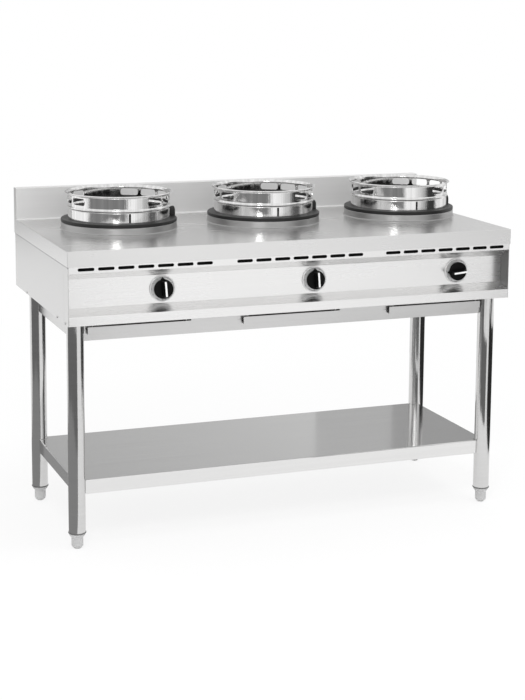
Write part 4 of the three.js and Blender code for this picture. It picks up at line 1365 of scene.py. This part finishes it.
@dataclass(frozen=True)
class SideScrews:
    """Pan-head screws along the lower edge of a side panel."""

    side: int
    radius: float = 3.5
    crown: float = 1.8
    above_edge: float = 4.5
    places: tuple[float, ...] = (187.9, -213.4, -310.7)

    def make(self) -> None:
        """Turns each head about its own axis, which points out of the panel."""
        node = "left_side_panel" if self.side < 0 else "right_side_panel"
        low, high = box_mm(node)
        face = low[0] if self.side < 0 else high[0]
        level = box_mm("control_panel")[0][2] + self.above_edge
        corners = [(0, -0.8), (self.radius, -0.8), (self.radius, self.crown), (0, self.crown)]
        profile = rounded(corners, [0.1, 1.6], 5)
        for number, y in enumerate(self.places, 1):
            def outward(across: Array, ahead: Array, height: Array, y: float = y) -> Array:
                return np.stack([face + self.side * height, y + across, level + ahead], -1)

            head = revolved(profile, round_angles(24), outward)
            Piece(f"{node}_screw_{number}", "root", SCREW_STEEL).from_patches([head], Build())


def soften_packed_nodes() -> None:
    """Gives plain sheet parts stand-ins with eased edges."""
    sheets = {
        "left_side_panel": SIDE_STEEL, "right_side_panel": SIDE_STEEL, "front_rail": TRAY_STEEL,
        "rear_rail": PANEL_STEEL, "left_rail": SIDE_STEEL, "right_rail": SIDE_STEEL, "back_panel": GALVANISED,
    }
    for node, finish in sheets.items():
        Piece(f"{node}_sheet", "root", finish).from_node(node, 0.4)
    for station in STATIONS:
        node = f"drip_tray_{station}"
        Piece(f"{node}_pan", f"tray_{station}", TRAY_STEEL).from_node(node, 0.4)


# ---------------------------------------------------------------- studio

@dataclass(frozen=True)
class Card:
    """A studio card that only reflections see: an upright band on an arc round the range.

    Its tone may pass evenly into another along the arc, and into a share of itself toward its top.
    """

    name: str
    tone: float
    from_deg: float
    to_deg: float
    distance: float
    bottom: float
    top: float
    end_tone: float | None = None
    top_share: float = 1.0

    def make(self) -> None:
        """Builds the band: each point lies at its distance from the origin, in its own direction."""
        angles = np.radians(np.linspace(self.from_deg, self.to_deg, 33))
        x, z = np.meshgrid(angles, [self.bottom, self.top], indexing="ij")
        points = np.stack([self.distance * np.cos(x), self.distance * np.sin(x), z], -1).reshape(-1, 3)
        show_card(self.name, points, self._strength)

    def _strength(self, recipe: Recipe) -> Signal | float:
        """Its brightness, as a number or over its surface."""
        if self.end_tone is None:
            return self.tone
        _, x, y, z = recipe.position()
        angle = y.angle_from(x) % (2 * math.pi)
        along = (angle - math.radians(self.from_deg)) / math.radians(self.to_deg - self.from_deg)
        up = (z - self.bottom) / (self.top - self.bottom)
        return (self.tone + along * (self.end_tone - self.tone)) * (1.0 - up * (1.0 - self.top_share))


def show_card(name: str, points: Array, strength: Callable[[Recipe], Signal | float]) -> None:
    """Makes a card that only glossy rays meet.

    Args:
        name: The card's name.
        points: Its points, in metres, by turns at its bottom and its top.
        strength: Gives its brightness in its recipe.
    """
    mesh = bpy.data.meshes.new(name)
    mesh.from_pydata(points, [], lattice(len(points) // 2, 2).tolist())
    recipe = Recipe(name)
    glow = recipe.node("ShaderNodeEmission", inputs={"Color": grey(1.0), "Strength": strength(recipe)})
    recipe.tree.links.new(glow.socket, recipe.output.inputs[0])
    card = bpy.data.objects.new(name, mesh)
    mesh.materials.append(recipe.material)
    bpy.context.scene.collection.objects.link(card)
    card.visible_camera = False
    card.visible_diffuse = False
    card.visible_shadow = False
    card.visible_transmission = False


@dataclass(frozen=True)
class Studio:
    """Camera, floor, soft lamps and cards."""

    camera_place: tuple[float, float, float] = (-1.75861, -4.69037, 1.61410)
    yaw_deg: float = 20.694
    pitch_deg: float = -8.825
    roll_deg: float = 0.4
    focal_pixels: float = 1615.33
    frame_height: int = 700
    axis_row: float = 240.0
    sensor: float = 36.0
    cards: tuple[Card, ...] = (
        Card("back_right_card", 0.9, 14.0, 52.0, 6.0, 0.0, 3.2, 0.9, 0.65),
        Card("back_card", 0.9, 52.0, 95.0, 6.0, 0.0, 3.2, 0.52, 0.65),
        Card("back_left_card", 0.52, 95.0, 128.0, 6.0, 0.0, 3.2, 0.52, 0.65),
        Card("left_light_card", 1.1, 128.0, 183.0, 6.0, 0.0, 3.0),
        Card("front_dark_card", 0.26, 183.0, 266.0, 3.8, 0.0, 1.35),
        Card("front_light_card", 1.1, 266.0, 286.0, 6.0, 0.0, 3.6),
        Card("front_right_card", 1.1, 286.0, 319.0, 6.0, 0.0, 3.6, 0.4),
        Card("right_dark_card", 0.05, 319.0, 346.0, 3.8, 0.0, 2.8),
        Card("right_light_card", 1.0, 346.0, 374.0, 6.0, 0.0, 2.8),
        Card("glow_card", 8.0, 238.5, 244.5, 3.7, 1.3, 2.5),
    )

    def make(self) -> None:
        """Builds the whole studio."""
        self.make_camera()
        self.make_floor()
        self.make_world()
        self.make_lamps()
        for card in self.cards:
            card.make()
        self.make_low_cards()

    def make_camera(self) -> None:
        """Places the camera: forward from yaw and pitch, then rolled about that direction."""
        yaw, pitch, roll = (math.radians(a) for a in (self.yaw_deg, self.pitch_deg, self.roll_deg))
        forward = Vector((math.sin(yaw) * math.cos(pitch), math.cos(yaw) * math.cos(pitch), math.sin(pitch)))
        level = Vector((math.cos(yaw), -math.sin(yaw), 0))
        up = level.cross(forward)
        right = level * math.cos(roll) + up * math.sin(roll)
        top = up * math.cos(roll) - level * math.sin(roll)
        turn = Matrix((right, top, -forward)).transposed()
        data = bpy.data.cameras.new("camera")
        data.sensor_width = self.sensor
        data.lens = self.sensor * self.focal_pixels / self.frame_height
        data.shift_y = (self.axis_row - self.frame_height / 2) / self.frame_height
        camera = bpy.data.objects.new("camera", data)
        camera.matrix_world = Matrix.Translation(self.camera_place) @ turn.to_4x4()
        bpy.context.scene.collection.objects.link(camera)
        bpy.context.scene.camera = camera

    @staticmethod
    def make_floor() -> None:
        """A wide pale floor: an even white for camera and reflections, partly lit near the range for its shadow.

        The lit share is 0.2 up to 1.2 m from the middle and falls in a straight line to nothing at 3 m.
        """
        half = 40.0
        near, far, lit = 1.2, 3.0, 0.2
        edge = np.linspace(-half, half, 3)
        x, y = np.meshgrid(edge, edge, indexing="ij")
        mesh = bpy.data.meshes.new("floor")
        mesh.from_pydata(np.stack([x, y, 0 * x], -1).reshape(-1, 3), [], lattice(3, 3)[:, ::-1].tolist())
        recipe = Recipe("floor")
        recipe.set(Base_Color=grey(0.95), Roughness=0.9, Specular_IOR_Level=0.0)
        glow = recipe.node("ShaderNodeEmission", inputs={"Color": grey(1.0), "Strength": 1.0})
        rays = [recipe.node("ShaderNodeLightPath", out=name)
                for name in ("Is Camera Ray", "Is Glossy Ray", "Is Transmission Ray")]
        seen = rays[0].larger(rays[1]).larger(rays[2])
        _, across, ahead, _ = recipe.position()
        away = (across * across + ahead * ahead) ** 0.5
        share = 1.0 - ((far - away) / (far - near)).smaller(1.0).larger(0.0) * lit
        mixed = recipe.node("ShaderNodeMixShader", inputs={0: seen * share, 1: Signal(recipe, recipe.shader.outputs[0]),
                                                           2: glow})
        recipe.tree.links.new(mixed.socket, recipe.output.inputs[0])
        mesh.materials.append(recipe.material)
        floor = bpy.data.objects.new("floor", mesh)
        bpy.context.scene.collection.objects.link(floor)

    @staticmethod
    def make_world() -> None:
        """White for camera, reflections and glass; softer for the light that the world gives."""
        world = bpy.data.worlds.new("studio")
        world.use_nodes = True
        tree = world.node_tree
        tree.nodes.clear()
        path = tree.nodes.new("ShaderNodeLightPath")
        seen = tree.nodes.new("ShaderNodeMath")
        seen.operation = "MAXIMUM"
        both = tree.nodes.new("ShaderNodeMath")
        both.operation = "MAXIMUM"
        light = tree.nodes.new("ShaderNodeBackground")
        white = tree.nodes.new("ShaderNodeBackground")
        mix = tree.nodes.new("ShaderNodeMixShader")
        output = tree.nodes.new("ShaderNodeOutputWorld")
        light.inputs["Strength"].default_value = 0.9
        white.inputs["Color"].default_value = grey(1.0)
        light.inputs["Color"].default_value = grey(1.0)
        tree.links.new(path.outputs["Is Camera Ray"], both.inputs[0])
        tree.links.new(path.outputs["Is Glossy Ray"], both.inputs[1])
        tree.links.new(both.outputs[0], seen.inputs[0])
        tree.links.new(path.outputs["Is Transmission Ray"], seen.inputs[1])
        tree.links.new(seen.outputs[0], mix.inputs[0])
        tree.links.new(light.outputs[0], mix.inputs[1])
        tree.links.new(white.outputs[0], mix.inputs[2])
        tree.links.new(mix.outputs[0], output.inputs[0])
        bpy.context.scene.world = world

    @staticmethod
    def make_lamps() -> None:
        """Two soft lamps: one above the camera, one high on the right."""
        for name, place, size, power in (
            ("front_lamp", (-1.6, -3.4, 3.6), 1.2, 50.0),
            ("top_lamp", (1.2, -0.8, 4.2), 2.5, 35.0),
        ):
            data = bpy.data.lights.new(name, "AREA")
            data.shape = "DISK"
            data.size = size
            data.energy = power
            lamp = bpy.data.objects.new(name, data)
            lamp.visible_glossy = False
            aim = Vector((0.0, 0.0, 0.8)) - Vector(place)
            lamp.matrix_world = Matrix.Translation(place) @ aim.to_track_quat("-Z", "Y").to_matrix().to_4x4()
            bpy.context.scene.collection.objects.link(lamp)

    @staticmethod
    def make_low_cards() -> None:
        """Low cards on the floor, which darken the reflections in the legs but stay under those in the casing."""
        low = (
            ("low_front_card", 0.17, (0.0, 0.44), [(-2.3, 0.9), (-2.3, -0.7), (-1.7, -1.31), (-0.52, -1.31)]),
            ("low_side_card", 0.17, (0.17, 0.46), [(0.15, -0.45), (0.3, -0.62), (0.68, -0.62)]),
            ("shelf_shade_card", 0.5, (0.2, 0.85), [(0.62, 1.0), (0.95, 1.0)]),
            ("shelf_dark_card", 0.38, (0.2, 0.85), [(0.95, 1.0), (1.7, 1.0)]),
            ("low_right_card", 0.03, (0.0, 0.45), [(1.25, -1.3), (1.25, 1.1)]),
        )
        for name, tone, span, path in low:
            corners = np.repeat(np.array(path), 2, axis=0)
            z = np.tile(span, len(path))[:, None]
            show_card(name, np.hstack([corners, z]), lambda recipe, tone=tone: tone)
        flat = [(-2.3, 0.9), (-0.74, 0.9), (-2.3, -0.36), (-0.71, -0.36), (-2.3, -1.31), (-0.6, -1.31)]
        points = np.hstack([np.array(flat), np.full((len(flat), 1), 0.002)])
        show_card("low_flat_card", points, lambda recipe: 0.3)


# ---------------------------------------------------------------- main

def dress_packed_nodes() -> None:
    """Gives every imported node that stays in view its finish."""
    finishes: dict[str, Finish] = {
        "worktop": WORKTOP_STEEL, "control_panel": PANEL_STEEL, "floor_channel": GALVANISED,
        "burner_crossbar": GALVANISED, "gas_manifold": GALVANISED, "burner_well": WELL_STEEL,
        "burner_body": CASTING, "pilot_burner": BRASS, "gas_tap": BRASS, "push_stem": BRASS, "tap_spindle": BRASS,
    }
    for name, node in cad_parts.items():
        if not node.hide_render:
            dress_node(name, next(finish for key, finish in finishes.items() if key in name))


def main() -> None:
    """Builds the studio and every piece in order."""
    logging.basicConfig(level=logging.INFO, format="%(name)s %(message)s")
    bpy.context.scene.view_settings.view_transform = "Standard"
    Studio().make()
    Worktop().make()
    ControlPanel().make()
    Undershelf().make()
    for station in STATIONS:
        for part in (RingBase, WokRing, BurnerCap, Bezel, Knob, TrayGuides):
            part(station).make()
    for side in (-1, 1):
        SideScrews(side).make()
    for corner in CORNERS:
        Leg(corner).make()
    soften_packed_nodes()
    dress_packed_nodes()


if __name__ == "__main__":
    main()
